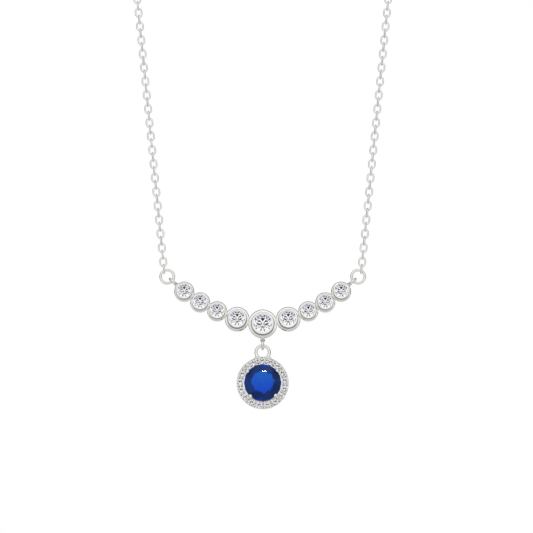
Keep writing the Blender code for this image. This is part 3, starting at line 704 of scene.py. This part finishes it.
def arc(centre, radius, start_deg, end_deg, steps, dull_shade_start=0.0, dull_shade_end=0.0):
    """Points of a rounded corner in a profile, from one amount of painted shade to another."""
    points = []
    for i in range(steps + 1):
        share = i / steps
        angle = math.radians(start_deg + (end_deg - start_deg) * share)
        dull_and_shade = dull_shade_start + (dull_shade_end - dull_shade_start) * share
        out = centre[0] + radius * math.cos(angle)
        up = centre[1] + radius * math.sin(angle)
        points.append((out, up, dull_and_shade))
    return points


def turned(bm, profile, steps, place):
    """A closed profile of (radius, height, painted shade) points turned about the local Z axis."""
    recess_shade = bm.verts.layers.float.get("recess_shade") or bm.verts.layers.float.new("recess_shade")
    rings = []
    for radius, height, dull_and_shade in profile:
        ring = []
        for k in range(steps):
            angle = 2 * math.pi * k / steps
            spot = Vector((radius * math.cos(angle), radius * math.sin(angle), height))
            vert = bm.verts.new(place @ spot)
            vert[recess_shade] = dull_and_shade
            ring.append(vert)
        rings.append(ring)
    for i, ring in enumerate(rings):
        following = rings[(i + 1) % len(rings)]
        for k in range(steps):
            j = (k + 1) % steps
            bm.faces.new((ring[k], ring[j], following[j], following[k]))


def bezel_profile(stone, cup, collar):
    """Back edge, collar, step, cup wall, lip, seat and open back; painted shade on back edge and cup
    wall.
    """
    girdle = GIRDLE_SHARE * stone
    lip = stone - LIP_COVER
    under = girdle + LIP_COVER * CROWN_TAN + SEAT_GAP
    rim = under + LIP_THICK
    step = collar - cup
    # Painted shade down the cup wall and in its groove, more where the step is wider
    dull_and_shade = min(1.0, step / FULL_STEP)
    soft = RIM_ROUND * dull_and_shade
    lip_soft = LIP_ROUND * soft
    groove = GROOVE * step
    wall = cup + WALL_LEAN * step
    slope = math.radians(COLLAR_SLOPE_DEG)
    face_start = collar - BEVEL_WIDTH
    face_height = COLLAR_FRONT - (face_start - wall - groove) * math.tan(slope)
    side_height = face_height - BEVEL_WIDTH * math.tan(math.radians(BEVEL_DEG))
    profile = arc((collar - soft, -BAR_DEPTH + soft), soft, -90.0, 0.0, ROUND_STEPS, 0.0, SIDE_DULL_SHADE)
    profile += [
        (collar, side_height, SIDE_DULL_SHADE),
        (face_start, face_height, 0.0),
        (wall + groove, COLLAR_FRONT, 0.0),
        (wall, COLLAR_FRONT - groove, dull_and_shade),
        (wall, COLLAR_FRONT + WALL_FOOT, dull_and_shade),
        ((1 - WAIST_LEAN) * cup + WAIST_LEAN * wall, rim - WAIST_DROP * soft, dull_and_shade),
    ]
    profile += arc((cup - soft, rim - soft), soft, 0.0, RIM_ROUND_DEG, ROUND_STEPS)
    profile += arc((lip + lip_soft, rim - LIP_DROP * soft), lip_soft, LIP_ROUND_DEG, 180.0, ROUND_STEPS)
    hole = stone - BEARING
    profile += [
        (lip, under, 0.0),
        (stone + SEAT_GAP, girdle + SEAT_GAP, 0.0),
        (stone + SEAT_GAP, -girdle - SEAT_GAP, 0.0),
        (hole, -girdle - SEAT_GAP - (BEARING + SEAT_GAP) * PAVILION_TAN, 0.0),
        (hole, -BAR_DEPTH + lip_soft, 0.0),
        (hole + lip_soft, -BAR_DEPTH, 0.0),
    ]
    return profile


def table_height(stone):
    """How far a brilliant's table stands in front of its girdle."""
    return GIRDLE_SHARE * stone + stone * (1 - TABLE_SHARE) * CROWN_TAN


bar_girdle_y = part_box("bar_stone_centre")[0].y + table_height(BEZEL_SIZES["centre"][0])


def stone_centre(node):
    """The middle of a bar stone's girdle."""
    spot = middle(node)
    return Vector((spot.x, bar_girdle_y, spot.z))


def ball(bm, centre, radius):
    """A round bead."""
    bmesh.ops.create_uvsphere(
        bm,
        u_segments=BEAD_STEPS,
        v_segments=BEAD_STEPS // 2,
        radius=radius,
        matrix=Matrix.Translation(centre),
    )


def fixed_loop(bm, centre, heading, reach):
    """A ring of wire that reaches out from a bezel, in the plane of its heading and the depth."""
    loop_centre = centre + heading * (reach - LOOP_RADIUS)
    jump_ring(bm, loop_centre, LOOP_RADIUS, LOOP_WIRE, -heading, Y_WAY, 0.0)


bar_stones = {"centre": ["bar_stone_centre"]}
for number in ("1", "2", "3", "4"):
    bar_stones[number] = ["bar_stone_left_" + number, "bar_stone_right_" + number]
bm = bmesh.new()
for size, nodes in bar_stones.items():
    stone, cup, collar = BEZEL_SIZES[size]
    for node in nodes:
        seat = Matrix.Translation(stone_centre(node)) @ TO_FRONT
        turned(bm, bezel_profile(stone, cup, collar), BEZEL_STEPS, seat)
in_line = [f"bar_stone_left_{number}" for number in (4, 3, 2, 1)]
in_line += ["bar_stone_centre"]
in_line += [f"bar_stone_right_{number}" for number in (1, 2, 3, 4)]
collar_of = {node: BEZEL_SIZES[size][2] for size, nodes in bar_stones.items() for node in nodes}
for first, second in zip(in_line, in_line[1:]):
    start = stone_centre(first)
    span = stone_centre(second) - start
    bite = collar_of[first] + collar_of[second] - span.length
    seam = start + span.normalized() * (collar_of[first] - bite / 2)
    seam.y -= COLLAR_FRONT - FILLET_SINK - FILLET_RADIUS
    seam_way = Vector((-span.z, 0.0, span.x)).normalized()
    fillet_path = [seam + seam_way * FILLET_REACH * share for share, _ in FILLET_SHAPE]
    fillet_radii = [FILLET_RADIUS * fullness for _, fullness in FILLET_SHAPE]
    sweep(bm, fillet_path, fillet_radii, RING_SIDES, Y_WAY)
loop_turn = math.radians(END_LOOP_DEG)
loop_plane_y = joint_at["bar_swing"].y
for word, side in (("left", -1), ("right", 1)):
    end = stone_centre(f"bar_stone_{word}_4")
    end.y = loop_plane_y
    heading = Vector((side * math.cos(loop_turn), 0.0, math.sin(loop_turn)))
    fixed_loop(bm, end, heading, END_LOOP_REACH)
    ball(bm, end + heading * END_BEAD_REACH, END_BEAD)
under_bar = stone_centre("bar_stone_centre")
under_bar.y = loop_plane_y
fixed_loop(bm, under_bar, -Z_WAY, DROP_LOOP_REACH)
ball(bm, under_bar - Z_WAY * DROP_BEAD_REACH, DROP_BEAD)
bar = piece("stepped_bezel_bar", bm, cast_silver, BEVEL_CREASE_DEG)
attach(bar, "bar")
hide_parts("bezel_bar")

# Clear stones of the bar: round brilliants with 57 flat polished facets each, held by the lips of
# their cups. A faint painted shade differs at random from facet to facet.
CLEAR_IOR = 2.17
CLEAR_FACET_SHADE = (0.99, 0.98, 1.0)
CLEAR_GLARE = 0.05
WHITE = (1.0, 1.0, 1.0)
FACET_STEP = 0.05


def facet_group():
    """One value for each flat facet, from the way that it faces, used as painted shade."""
    tree, given, result = new_tree(
        "painted_facet_shade",
        "ShaderNodeTree",
        (("Light", "NodeSocketColor"), ("Tint", "NodeSocketColor")),
        (("Colour", "NodeSocketColor"), ("Value", "NodeSocketFloat")),
    )
    facing = add_node(tree, "ShaderNodeTexCoord").outputs["Normal"]
    step = add_node(tree, "ShaderNodeVectorMath", {0: facing, 1: (FACET_STEP,) * 3}, operation="SNAP")
    noise = add_node(
        tree, "ShaderNodeTexWhiteNoise", {"Vector": step.outputs["Vector"]}, noise_dimensions="3D"
    )
    value = noise.outputs["Value"]
    colour = blend(tree, value, given.outputs["Light"], given.outputs["Tint"])
    tree.links.new(colour, result.inputs["Colour"])
    tree.links.new(value, result.inputs["Value"])
    return tree


painted_facet_shade = facet_group()


def facets_with(tree, facet_shade):
    """The painted facet shade in a material, from white to a tint."""
    inputs = {"Light": (*WHITE, 1.0), "Tint": (*facet_shade, 1.0)}
    return add_node(tree, "ShaderNodeGroup", inputs, node_tree=painted_facet_shade)


def clear_finish(name, facet_shade, glare):
    """Clear crystal, with a little painted shade from facet to facet and more or less glare."""
    material, tree, shader = new_finish(name)
    shader.inputs["Roughness"].default_value = 0.0
    shader.inputs["IOR"].default_value = CLEAR_IOR
    shader.inputs["Specular Tint"].default_value = (glare, glare, glare, 1.0)
    shader.inputs["Transmission Weight"].default_value = 1.0
    facets = facets_with(tree, facet_shade)
    tree.links.new(facets.outputs["Colour"], shader.inputs["Base Color"])
    return material


clear_stone = clear_finish("clear_brilliant", CLEAR_FACET_SHADE, CLEAR_GLARE)
for nodes in bar_stones.values():
    for node in nodes:
        refinish(node, clear_stone)

# Pendant frame: a cast halo ring with a channel for the small stones, a gallery collar behind it,
# four round prongs for the blue stone and a bail ring whose feet run out into the halo.
BLUE_RADIUS = 3.0 * MM
HALO_COUNT = 17
HALO_START_DEG = -1.5
HALO_PITCH = 3.605 * MM
HALO_STONE = 0.475 * MM
HALO_OUTER = 4.19 * MM
HALO_PLATE = 0.9 * MM
HALO_EDGE = 0.12 * MM
HALO_INSET = 0.02 * MM
HALO_STEPS = 136
HALO_RIM_STEPS = 8
CHANNEL_INNER = HALO_PITCH - HALO_STONE - SEAT_GAP
CHANNEL_OUTER = HALO_PITCH + HALO_STONE + SEAT_GAP
CHANNEL_DEPTH = 0.5 * MM
# Painted shade on the channel floor between the halo stones
CHANNEL_DULL_SHADE = 0.1
GALLERY_DEPTH = 1.4 * MM
GALLERY_WALL = 0.5 * MM
SEAT_LEDGE = 0.4 * MM
BLUE_SEAT = 0.4775 * MM
PRONG_STEM_REACH = 3.16 * MM
PRONG_STEM = 0.13 * MM
PRONG_BEND = 0.7 * MM
PRONG_SIDES = 12
PRONG_BALL = 0.36 * MM
PRONG_BALL_REACH = 3.01 * MM
PRONG_BALL_HEIGHT = 1.034 * MM
# Halo steps, clockwise from the top, where the prongs stand
PRONG_GAPS = (2.5, 6.5, 10.5, 14.5)
BAIL_RADIUS = 1.075 * MM
BAIL_WIRE = 0.5 * MM
BAIL_SIDES = 16
BAIL_SWELL = 0.5
BAIL_CENTRE = 5.005 * MM
# Points of one foot, across and up from the middle of the blue stone
BAIL_FOOT = (
    (0.99 * MM, 4.66 * MM),
    (0.96 * MM, 4.42 * MM),
    (1.06 * MM, 4.13 * MM),
    (1.35 * MM, 3.8 * MM),
)

blue_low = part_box("blue_stone")[0]
plate_y = blue_low.y + table_height(BLUE_RADIUS) + BLUE_SEAT
halo_middle = middle("blue_stone")
halo_centre = Vector((halo_middle.x, plate_y, halo_middle.z))
halo_place = Matrix.Translation(halo_centre) @ TO_FRONT


def halo_spot(step, radius, height):
    """A point at a halo step, clockwise from the top, in the pendant's frame with the front at +Z."""
    angle = math.radians(90.0 - HALO_START_DEG - step * 360.0 / HALO_COUNT)
    return Vector((radius * math.cos(angle), radius * math.sin(angle), height))


def halo_profile():
    """Rounded rim, plate edge, gallery collar, inner edge and channel, painted shade on the channel
    floor.
    """
    hole = BLUE_RADIUS - SEAT_LEDGE
    back = -HALO_PLATE - GALLERY_DEPTH
    rim = (HALO_OUTER - CHANNEL_OUTER) / 2
    profile = arc((CHANNEL_OUTER + rim, -rim), rim, 180.0, 0.0, HALO_RIM_STEPS)
    profile += arc((HALO_OUTER - HALO_EDGE, -HALO_PLATE + HALO_EDGE), HALO_EDGE, 0.0, -90.0, ROUND_STEPS)
    profile += [
        (hole + GALLERY_WALL, -HALO_PLATE, 0.0),
        (hole + GALLERY_WALL / 2, back, 0.0),
        (hole - GALLERY_WALL / 2, back, 0.0),
        (hole, -HALO_PLATE / 2, 0.0),
        (hole, -HALO_INSET, 0.0),
        (CHANNEL_INNER - HALO_INSET, -HALO_INSET, 0.0),
        (CHANNEL_INNER, -CHANNEL_DEPTH, CHANNEL_DULL_SHADE),
        (CHANNEL_OUTER, -CHANNEL_DEPTH, CHANNEL_DULL_SHADE),
    ]
    return profile


def bail_wire(bm, spots):
    """A wire of the bail through points across and up, filed away where it would enter the channel."""
    path = []
    radii = []
    for across, up, radius in spots:
        reach = math.hypot(across, up)
        filed = max(0.0, CHANNEL_OUTER - reach + radius) / 2
        outward = 1 + filed / reach
        path.append(halo_place @ Vector((across * outward, up * outward, -HALO_PLATE / 2)))
        radii.append(radius - filed)
    sweep(bm, path, radii, BAIL_SIDES, Y_WAY)


bm = bmesh.new()
turned(bm, halo_profile(), HALO_STEPS, halo_place)
for gap in PRONG_GAPS:
    foot = halo_place @ halo_spot(gap, PRONG_STEM_REACH, -HALO_PLATE / 2)
    bend = halo_place @ halo_spot(gap, PRONG_STEM_REACH, PRONG_BEND)
    head = halo_place @ halo_spot(gap, PRONG_BALL_REACH, PRONG_BALL_HEIGHT)
    sweep(bm, [foot, bend, head], [PRONG_STEM] * 3, PRONG_SIDES, X_WAY)
    ball(bm, head, PRONG_BALL)
bail_ring = []
for i in range(RING_STEPS + 1):
    angle = 2 * math.pi * i / RING_STEPS
    across = BAIL_RADIUS * math.sin(angle)
    up = BAIL_CENTRE - BAIL_RADIUS * math.cos(angle)
    swell = 1 + BAIL_SWELL * max(0.0, math.cos(angle)) ** 2
    bail_ring.append((across, up, BAIL_WIRE / 2 * swell))
bail_wire(bm, bail_ring)
for side in (1, -1):
    bail_wire(bm, [(side * across, up, BAIL_WIRE / 2) for across, up in BAIL_FOOT])
halo_frame = piece("halo_pendant_frame", bm, cast_silver)
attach(halo_frame, "pendant")
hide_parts("pendant_frame")

# Halo grains: beads of metal raised between the halo stones with a graver and pushed over their
# edges, one inside and one outside at each gap.
GRAIN_RADIUS = 0.165 * MM
GRAIN_INNER = 3.36 * MM
GRAIN_OUTER = 3.86 * MM
GRAIN_HEIGHT = 0.02 * MM
GRAIN_SEGMENTS = 14
GRAIN_RINGS = 8
GRAIN_STEM_SIDES = 12


def grain_tree():
    """A bead on a stem at each point, with its head to the front."""
    tree, given, result = new_tree(
        "halo_grains",
        "GeometryNodeTree",
        (
            ("Ring Points", "NodeSocketGeometry"),
            ("Grain Radius", "NodeSocketFloat"),
            ("Grain Length", "NodeSocketFloat"),
            ("Silver", "NodeSocketMaterial"),
        ),
        (("Grains", "NodeSocketGeometry"),),
    )
    radius = given.outputs["Grain Radius"]
    length = given.outputs["Grain Length"]
    bead = add_node(
        tree,
        "GeometryNodeMeshUVSphere",
        {"Segments": GRAIN_SEGMENTS, "Rings": GRAIN_RINGS, "Radius": radius},
    )
    stem = add_node(
        tree,
        "GeometryNodeMeshCone",
        {"Vertices": GRAIN_STEM_SIDES, "Radius Top": radius, "Radius Bottom": radius, "Depth": length},
    )
    drop = add_node(tree, "ShaderNodeCombineXYZ", {"Z": reckon(tree, "MULTIPLY", length, -1.0)})
    lowered = add_node(
        tree,
        "GeometryNodeTransform",
        {"Geometry": stem.outputs["Mesh"], "Translation": drop.outputs["Vector"]},
    )
    whole = add_node(tree, "GeometryNodeJoinGeometry")
    tree.links.new(bead.outputs["Mesh"], whole.inputs["Geometry"])
    tree.links.new(lowered.outputs["Geometry"], whole.inputs["Geometry"])
    grains = planted(
        tree,
        given.outputs["Ring Points"],
        whole.outputs["Geometry"],
        (math.radians(90.0), 0.0, 0.0),
        given.outputs["Silver"],
    )
    tree.links.new(grains, result.inputs["Grains"])
    return tree


grain_spots = []
for i in range(HALO_COUNT):
    for radius in (GRAIN_INNER, GRAIN_OUTER):
        grain_spots.append(halo_place @ halo_spot(i + 0.5, radius, GRAIN_HEIGHT))
grain_mesh = bpy.data.meshes.new("grain_spots")
grain_mesh.from_pydata(grain_spots, [], [])
grains = grown(
    "halo_grains",
    grain_mesh,
    grain_tree(),
    {"Grain Radius": GRAIN_RADIUS, "Grain Length": CHANNEL_DEPTH / 2, "Silver": cast_silver},
    cast_silver,
)
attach(grains, "pendant")

# Halo stones: seventeen small clear stones in the channel, each held by four grains. They are cut more
# simply than the bar's stones, with eight sides.
# Far end of the painted shade that differs from facet to facet
HALO_FACET_SHADE = (0.97, 0.95, 1.0)
HALO_GLARE = 0.9

halo_clear = clear_finish("clear_halo_cut", HALO_FACET_SHADE, HALO_GLARE)
for i in range(HALO_COUNT):
    refinish(f"halo_stone_{i + 1:02d}", halo_clear)

# Blue stone: a deep blue round brilliant, held by the four prongs and open behind. Its colour holds
# painted
# light: an uneven bright round in its middle, painted shade on the crown around it and a painted flash
# in two crown facets.
BLUE_IOR = 1.6
BLUE_GLARE = 0.15
BLUE_CLEARNESS = 0.35
# Painted light of the bright middle, at its bottom and at its top
BLUE_BRIGHT_LOW = (0.0085, 0.070, 0.62)
BLUE_BRIGHT_HIGH = (0.013, 0.135, 0.58)
# Painted shade of the crown, differing from facet to facet
BLUE_CROWN_LOW = (0.007, 0.026, 0.125)
BLUE_CROWN_HIGH = (0.017, 0.054, 0.225)
# Painted flash in two crown facets
BLUE_FLASH = (0.008, 0.05, 0.36)
BLUE_BACK = (0.012, 0.08, 0.42)
BLUE_FACET_SHADE = (0.75, 0.78, 0.9)
FLASH_MIDDLE = 0.2
FLASH_HALF_WIDTH = 0.06
# Size and unevenness of the painted bright round
BRIGHT_RADIUS = 1.74 * MM
BRIGHT_SOFT = 0.26 * MM
BRIGHT_WANDER = 1.0 * MM
BRIGHT_NOISE = 1700.0
BRIGHT_DETAIL = 1.0
# How far back a facet may face: the table and stars to the first, the rest of the crown to the second
MIDDLE_LIMIT = -0.88
CROWN_LIMIT = 0.2


def blue_finish(name):
    """Deep blue: a painted bright middle, a painted dark crown with a painted flash in two facets, a
    plain back.
    """
    material, tree, shader = new_finish(name)
    shader.inputs["Roughness"].default_value = 0.0
    shader.inputs["IOR"].default_value = BLUE_IOR
    shader.inputs["Specular Tint"].default_value = (BLUE_GLARE, BLUE_GLARE, BLUE_GLARE, 1.0)
    shader.inputs["Transmission Weight"].default_value = BLUE_CLEARNESS
    coords = add_node(tree, "ShaderNodeTexCoord")
    facing = add_node(tree, "ShaderNodeSeparateXYZ", {"Vector": coords.outputs["Normal"]})
    place = add_node(tree, "ShaderNodeSeparateXYZ", {"Vector": coords.outputs["Object"]})
    upward = add_node(
        tree,
        "ShaderNodeMapRange",
        {
            "Value": place.outputs["Z"],
            "From Min": halo_middle.z - TABLE_SHARE * BLUE_RADIUS,
            "From Max": halo_middle.z + TABLE_SHARE * BLUE_RADIUS,
        },
    )
    bright = blend(tree, upward.outputs["Result"], (*BLUE_BRIGHT_LOW, 1.0), (*BLUE_BRIGHT_HIGH, 1.0))
    facets = facets_with(tree, BLUE_FACET_SHADE)
    dark = blend(tree, facets.outputs["Value"], (*BLUE_CROWN_LOW, 1.0), (*BLUE_CROWN_HIGH, 1.0))
    slant = reckon(tree, "DIVIDE", facing.outputs["X"], facing.outputs["Z"])
    flash = reckon(tree, "COMPARE", slant, FLASH_MIDDLE, FLASH_HALF_WIDTH)
    crown = blend(tree, flash, dark, (*BLUE_FLASH, 1.0))
    from_middle = add_node(
        tree, "ShaderNodeVectorMath", {0: coords.outputs["Object"], 1: halo_middle}, operation="SUBTRACT"
    )
    in_plane = add_node(
        tree,
        "ShaderNodeVectorMath",
        {0: from_middle.outputs["Vector"], 1: (1.0, 0.0, 1.0)},
        operation="MULTIPLY",
    )
    reach = add_node(tree, "ShaderNodeVectorMath", {0: in_plane.outputs["Vector"]}, operation="LENGTH")
    unevenness = add_node(
        tree,
        "ShaderNodeTexNoise",
        {"Vector": coords.outputs["Object"], "Scale": BRIGHT_NOISE, "Detail": BRIGHT_DETAIL},
    )
    uneven_reach = reckon(
        tree, "MULTIPLY_ADD", unevenness.outputs["Fac"], BRIGHT_WANDER, reach.outputs["Value"]
    )
    bright_edge = BRIGHT_RADIUS + BRIGHT_WANDER / 2
    bright_share = add_node(
        tree,
        "ShaderNodeMapRange",
        {
            "Value": uneven_reach,
            "From Min": bright_edge + BRIGHT_SOFT / 2,
            "From Max": bright_edge - BRIGHT_SOFT / 2,
        },
    )
    colour = blend(tree, bright_share.outputs["Result"], dark, bright)
    for limit, zone in ((MIDDLE_LIMIT, crown), (CROWN_LIMIT, (*BLUE_BACK, 1.0))):
        beyond = reckon(tree, "GREATER_THAN", facing.outputs["Y"], limit)
        colour = blend(tree, beyond, colour, zone)
    shade = blend(tree, 1.0, colour, facets.outputs["Colour"], "MULTIPLY")
    tree.links.new(shade, shader.inputs["Base Color"])
    return material


refinish("blue_stone", blue_finish("blue_brilliant"))

# Table top: a round pale board well below the hanging necklace, which takes its soft shadow. It belongs
# to the setting, not to the necklace.
FLOOR_DROP = 150.0 * MM
FLOOR_FORWARD = 20.0 * MM
FLOOR_RADIUS = 350.0 * MM
FLOOR_STEPS = 96
FLOOR_PALE = (0.86, 0.86, 0.85)
FLOOR_PALER = (0.9, 0.9, 0.89)
FLOOR_ROUGH = 0.8
FLOOR_MOTTLE = 30.0
FLOOR_DETAIL = 4.0


def fade(tree, value, first, stops, last):
    """Colours along a value from 0 to 1."""
    ramp = add_node(tree, "ShaderNodeValToRGB", {"Fac": value})
    ramp.color_ramp.elements[0].color = (*first, 1.0)
    ramp.color_ramp.elements[1].color = (*last, 1.0)
    for position, colour in stops:
        ramp.color_ramp.elements.new(position).color = (*colour, 1.0)
    return ramp.outputs["Color"]


def board_finish(name):
    """Pale board with a faint mottle."""
    material, tree, shader = new_finish(name)
    shader.inputs["Roughness"].default_value = FLOOR_ROUGH
    where = add_node(tree, "ShaderNodeTexCoord").outputs["Object"]
    mottle = add_node(
        tree, "ShaderNodeTexNoise", {"Vector": where, "Scale": FLOOR_MOTTLE, "Detail": FLOOR_DETAIL}
    )
    tones = fade(tree, mottle.outputs["Fac"], FLOOR_PALE, (), FLOOR_PALER)
    tree.links.new(tones, shader.inputs["Base Color"])
    return material


bm = bmesh.new()
bmesh.ops.create_circle(bm, cap_ends=True, segments=FLOOR_STEPS, radius=FLOOR_RADIUS)
bmesh.ops.translate(bm, verts=bm.verts, vec=(0.0, -FLOOR_FORWARD, cad_box[0][2] - FLOOR_DROP))
floor = piece("table_top", bm, board_finish("pale_table"))
floor.visible_glossy = False

# White tent: the camera sees it white. Polished silver sees it white in front, above and behind, dark at
# the sides, and a grey table below. The cut stones see dark openings and tinted patches, the same to
# either side, which give them their dark marks and their colours.
SILVER_SEES = ((0.12, 1.0), (0.26, 0.66), (0.42, 0.36), (0.6, 0.22), (0.8, 0.18), (0.9, 0.55))
SILVER_SEES_BEHIND = 0.95
SILVER_SEES_UP = ((0.6, 0.9), (0.75, 1.0))
SILVER_WARMTH = 0.97
CEILING_RISE = ((0.68, 0.0), (0.85, 1.0))
CEILING_BACK = ((0.34, 1.0), (0.44, 0.0))
TABLE_SEEN = ((0.36, 1.0), (0.5, 0.0))
TABLE_GREY = (0.62, 0.62, 0.60)
TENT_GLOW = (0.85, 0.85, 0.85)
SPOT_REACH_DEG = 24.0
# Each patch: degrees to the side, degrees up, and its colours by degrees from its middle
STONE_SPOTS = {
    "side_opening": (
        20.0,
        -4.0,
        ((8.8, (0.008, 0.004, 0.03)), (11.0, (0.17, 0.14, 0.34)), (14.0, WHITE)),
    ),
    "upper_opening": (10.0, 14.0, ((5.0, (0.0, 0.0, 0.0)), (6.5, (0.25, 0.22, 0.40)), (8.0, WHITE))),
    "high_blue": (4.0, 31.0, ((2.5, (0.10, 0.09, 0.36)), (5.0, WHITE))),
    "far_opening": (36.0, 28.0, ((11.0, (0.04, 0.03, 0.10)), (14.5, WHITE))),
    "low_opening": (14.0, -22.0, ((4.5, (0.02, 0.015, 0.10)), (7.5, WHITE))),
    "warm_lamp": (8.5, 26.5, ((1.5, (1.0, 0.80, 0.50)), (2.8, WHITE))),
}

world = bpy.data.worlds.new("white_tent")
bpy.context.scene.world = world
world.use_nodes = True
tent = world.node_tree
background = tent.nodes["Background"]
way = add_node(tent, "ShaderNodeTexCoord").outputs["Generated"]
way_parts = add_node(tent, "ShaderNodeSeparateXYZ", {"Vector": way})
ray = add_node(tent, "ShaderNodeLightPath")


def as_share(part):
    """A part of the way, from -1 to 1, as a value from 0 to 1."""
    inputs = {"Value": way_parts.outputs[part], "From Min": -1.0, "From Max": 1.0}
    return add_node(tent, "ShaderNodeMapRange", inputs).outputs["Result"]


def grey_fade(value, first, stops, last):
    """Greys along a value from 0 to 1."""
    greys = [(position, (grey,) * 3) for position, grey in stops]
    return fade(tent, value, (first,) * 3, greys, (last,) * 3)


backward = as_share("Y")
height_seen = as_share("Z")
silver_stops = [(position, (grey, grey, SILVER_WARMTH * grey)) for position, grey in SILVER_SEES]
silver_round = fade(tent, backward, WHITE, silver_stops, (SILVER_SEES_BEHIND,) * 3)
silver_up = grey_fade(height_seen, SILVER_SEES_UP[0][1], SILVER_SEES_UP, 1.0)
table_share = grey_fade(height_seen, 1.0, TABLE_SEEN, 0.0)
ceiling_rise = grey_fade(height_seen, 0.0, CEILING_RISE, 1.0)
ceiling_back = grey_fade(backward, 1.0, CEILING_BACK, 0.0)
ceiling_share = blend(tent, 1.0, ceiling_rise, ceiling_back, "MULTIPLY")
silver_view = blend(tent, 1.0, silver_round, silver_up, "MULTIPLY")
silver_view = blend(tent, ceiling_share, silver_view, (*WHITE, 1.0))
silver_view = blend(tent, table_share, silver_view, (*TABLE_GREY, 1.0))
mirrored = add_node(
    tent,
    "ShaderNodeCombineXYZ",
    {
        "X": reckon(tent, "ABSOLUTE", way_parts.outputs["X"]),
        "Y": way_parts.outputs["Y"],
        "Z": way_parts.outputs["Z"],
    },
)


def spot_share(degrees):
    """How far an angle from a spot's middle is along its ramp."""
    return (1 - math.cos(math.radians(degrees))) / (1 - math.cos(math.radians(SPOT_REACH_DEG)))


def stone_spot(side_deg, rise_deg, stops):
    """A patch in front of the stones at a side and a rise, with its stops in degrees from its middle."""
    side = math.radians(side_deg)
    rise = math.radians(rise_deg)
    toward = (math.sin(side) * math.cos(rise), -math.cos(side) * math.cos(rise), math.sin(rise))
    along = add_node(
        tent, "ShaderNodeVectorMath", {0: mirrored.outputs["Vector"], 1: toward}, operation="DOT_PRODUCT"
    )
    away = add_node(
        tent,
        "ShaderNodeMapRange",
        {
            "Value": along.outputs["Value"],
            "From Min": 1.0,
            "From Max": math.cos(math.radians(SPOT_REACH_DEG)),
        },
    )
    shares = [(spot_share(degrees), colour) for degrees, colour in stops]
    return fade(tent, away.outputs["Result"], stops[0][1], shares, WHITE)


stone_view = None
for side_deg, rise_deg, stops in STONE_SPOTS.values():
    spot = stone_spot(side_deg, rise_deg, stops)
    stone_view = blend(tent, 1.0, stone_view, spot, "MULTIPLY") if stone_view else spot
seen = blend(tent, ray.outputs["Is Glossy Ray"], (*TENT_GLOW, 1.0), silver_view)
seen = blend(tent, ray.outputs["Is Transmission Ray"], seen, stone_view)
seen = blend(tent, ray.outputs["Is Camera Ray"], seen, (*WHITE, 1.0))
tent.links.new(seen, background.inputs["Color"])
background.inputs["Strength"].default_value = 1.0

# Camera: a long lens that looks up a little from below the bar, framed as the photograph is. The width
# of its view is the photograph's, on the scale of the blue stone.
VIEW_WIDTH = 86.2 * MM
LENS = 200.0
SENSOR = 36.0
NEAREST = 10.0 * MM
VIEW_UP_DEG = 9.5
VIEW_CENTRE = Vector((0.614 * MM, -42.0 * MM, -132.394 * MM))

camera_data = bpy.data.cameras.new("photo_camera")
camera_data.lens = LENS
camera_data.sensor_width = SENSOR
camera_data.clip_start = NEAREST
camera = bpy.data.objects.new("photo_camera", camera_data)
bpy.context.scene.collection.objects.link(camera)
look = Vector((0.0, math.cos(math.radians(VIEW_UP_DEG)), math.sin(math.radians(VIEW_UP_DEG))))
camera.location = VIEW_CENTRE - look * (VIEW_WIDTH * LENS / SENSOR)
camera.rotation_euler = look.to_track_quat("-Z", "Y").to_euler()
bpy.context.scene.camera = camera

# Lamps: a key high in front and a fill to the left, both soft boxes that polished metal doesn't show,
# and a pin lamp half a millimetre wide, whose glint is seen in the top star facet of the blue stone.
# Each soft box: its place, its size and its power
SOFT_BOXES = {
    "key_soft_box": ((0.03, -0.40, 0.256), 0.07, 1.2),
    "fill_soft_box": ((-0.40, -0.30, 0.05), 0.25, 0.8),
}
STAR_SLOPE_DEG = 21.4
PIN_SPOT = Vector((0.338 * MM, -0.9145 * MM, 1.737 * MM))
PIN_DISTANCE = 60.0 * MM
PIN_WIDTH = 0.55 * MM
PIN_HEIGHT = 0.3 * MM
PIN_POWER = 0.00012


def soft_lamp(name, place, size, power):
    """A square soft box that faces the middle of the view."""
    data = bpy.data.lights.new(name, "AREA")
    data.shape = "SQUARE"
    data.size = size
    data.energy = power
    lamp = bpy.data.objects.new(name, data)
    bpy.context.scene.collection.objects.link(lamp)
    lamp.location = place
    lamp.rotation_euler = (VIEW_CENTRE - Vector(place)).to_track_quat("-Z", "Y").to_euler()
    return lamp


for name, (place, size, power) in SOFT_BOXES.items():
    soft_box = soft_lamp(name, place, size, power)
    soft_box.visible_glossy = False
star_slope = math.radians(STAR_SLOPE_DEG)
star_faces = Vector((0.0, -math.cos(star_slope), math.sin(star_slope)))
blue_girdle = Vector((halo_middle.x, blue_low.y + table_height(BLUE_RADIUS), halo_middle.z))
pin_spot = blue_girdle + PIN_SPOT
pin_way = (pin_spot - camera.location).normalized().reflect(star_faces)
pin = soft_lamp("pin_lamp", pin_spot + pin_way * PIN_DISTANCE, PIN_WIDTH, PIN_POWER)
pin.data.shape = "RECTANGLE"
pin.data.size_y = PIN_HEIGHT
pin.rotation_euler = (-pin_way).to_track_quat("-Z", "Y").to_euler()
pin.visible_camera = False

bpy.context.scene.view_settings.view_transform = "Standard"
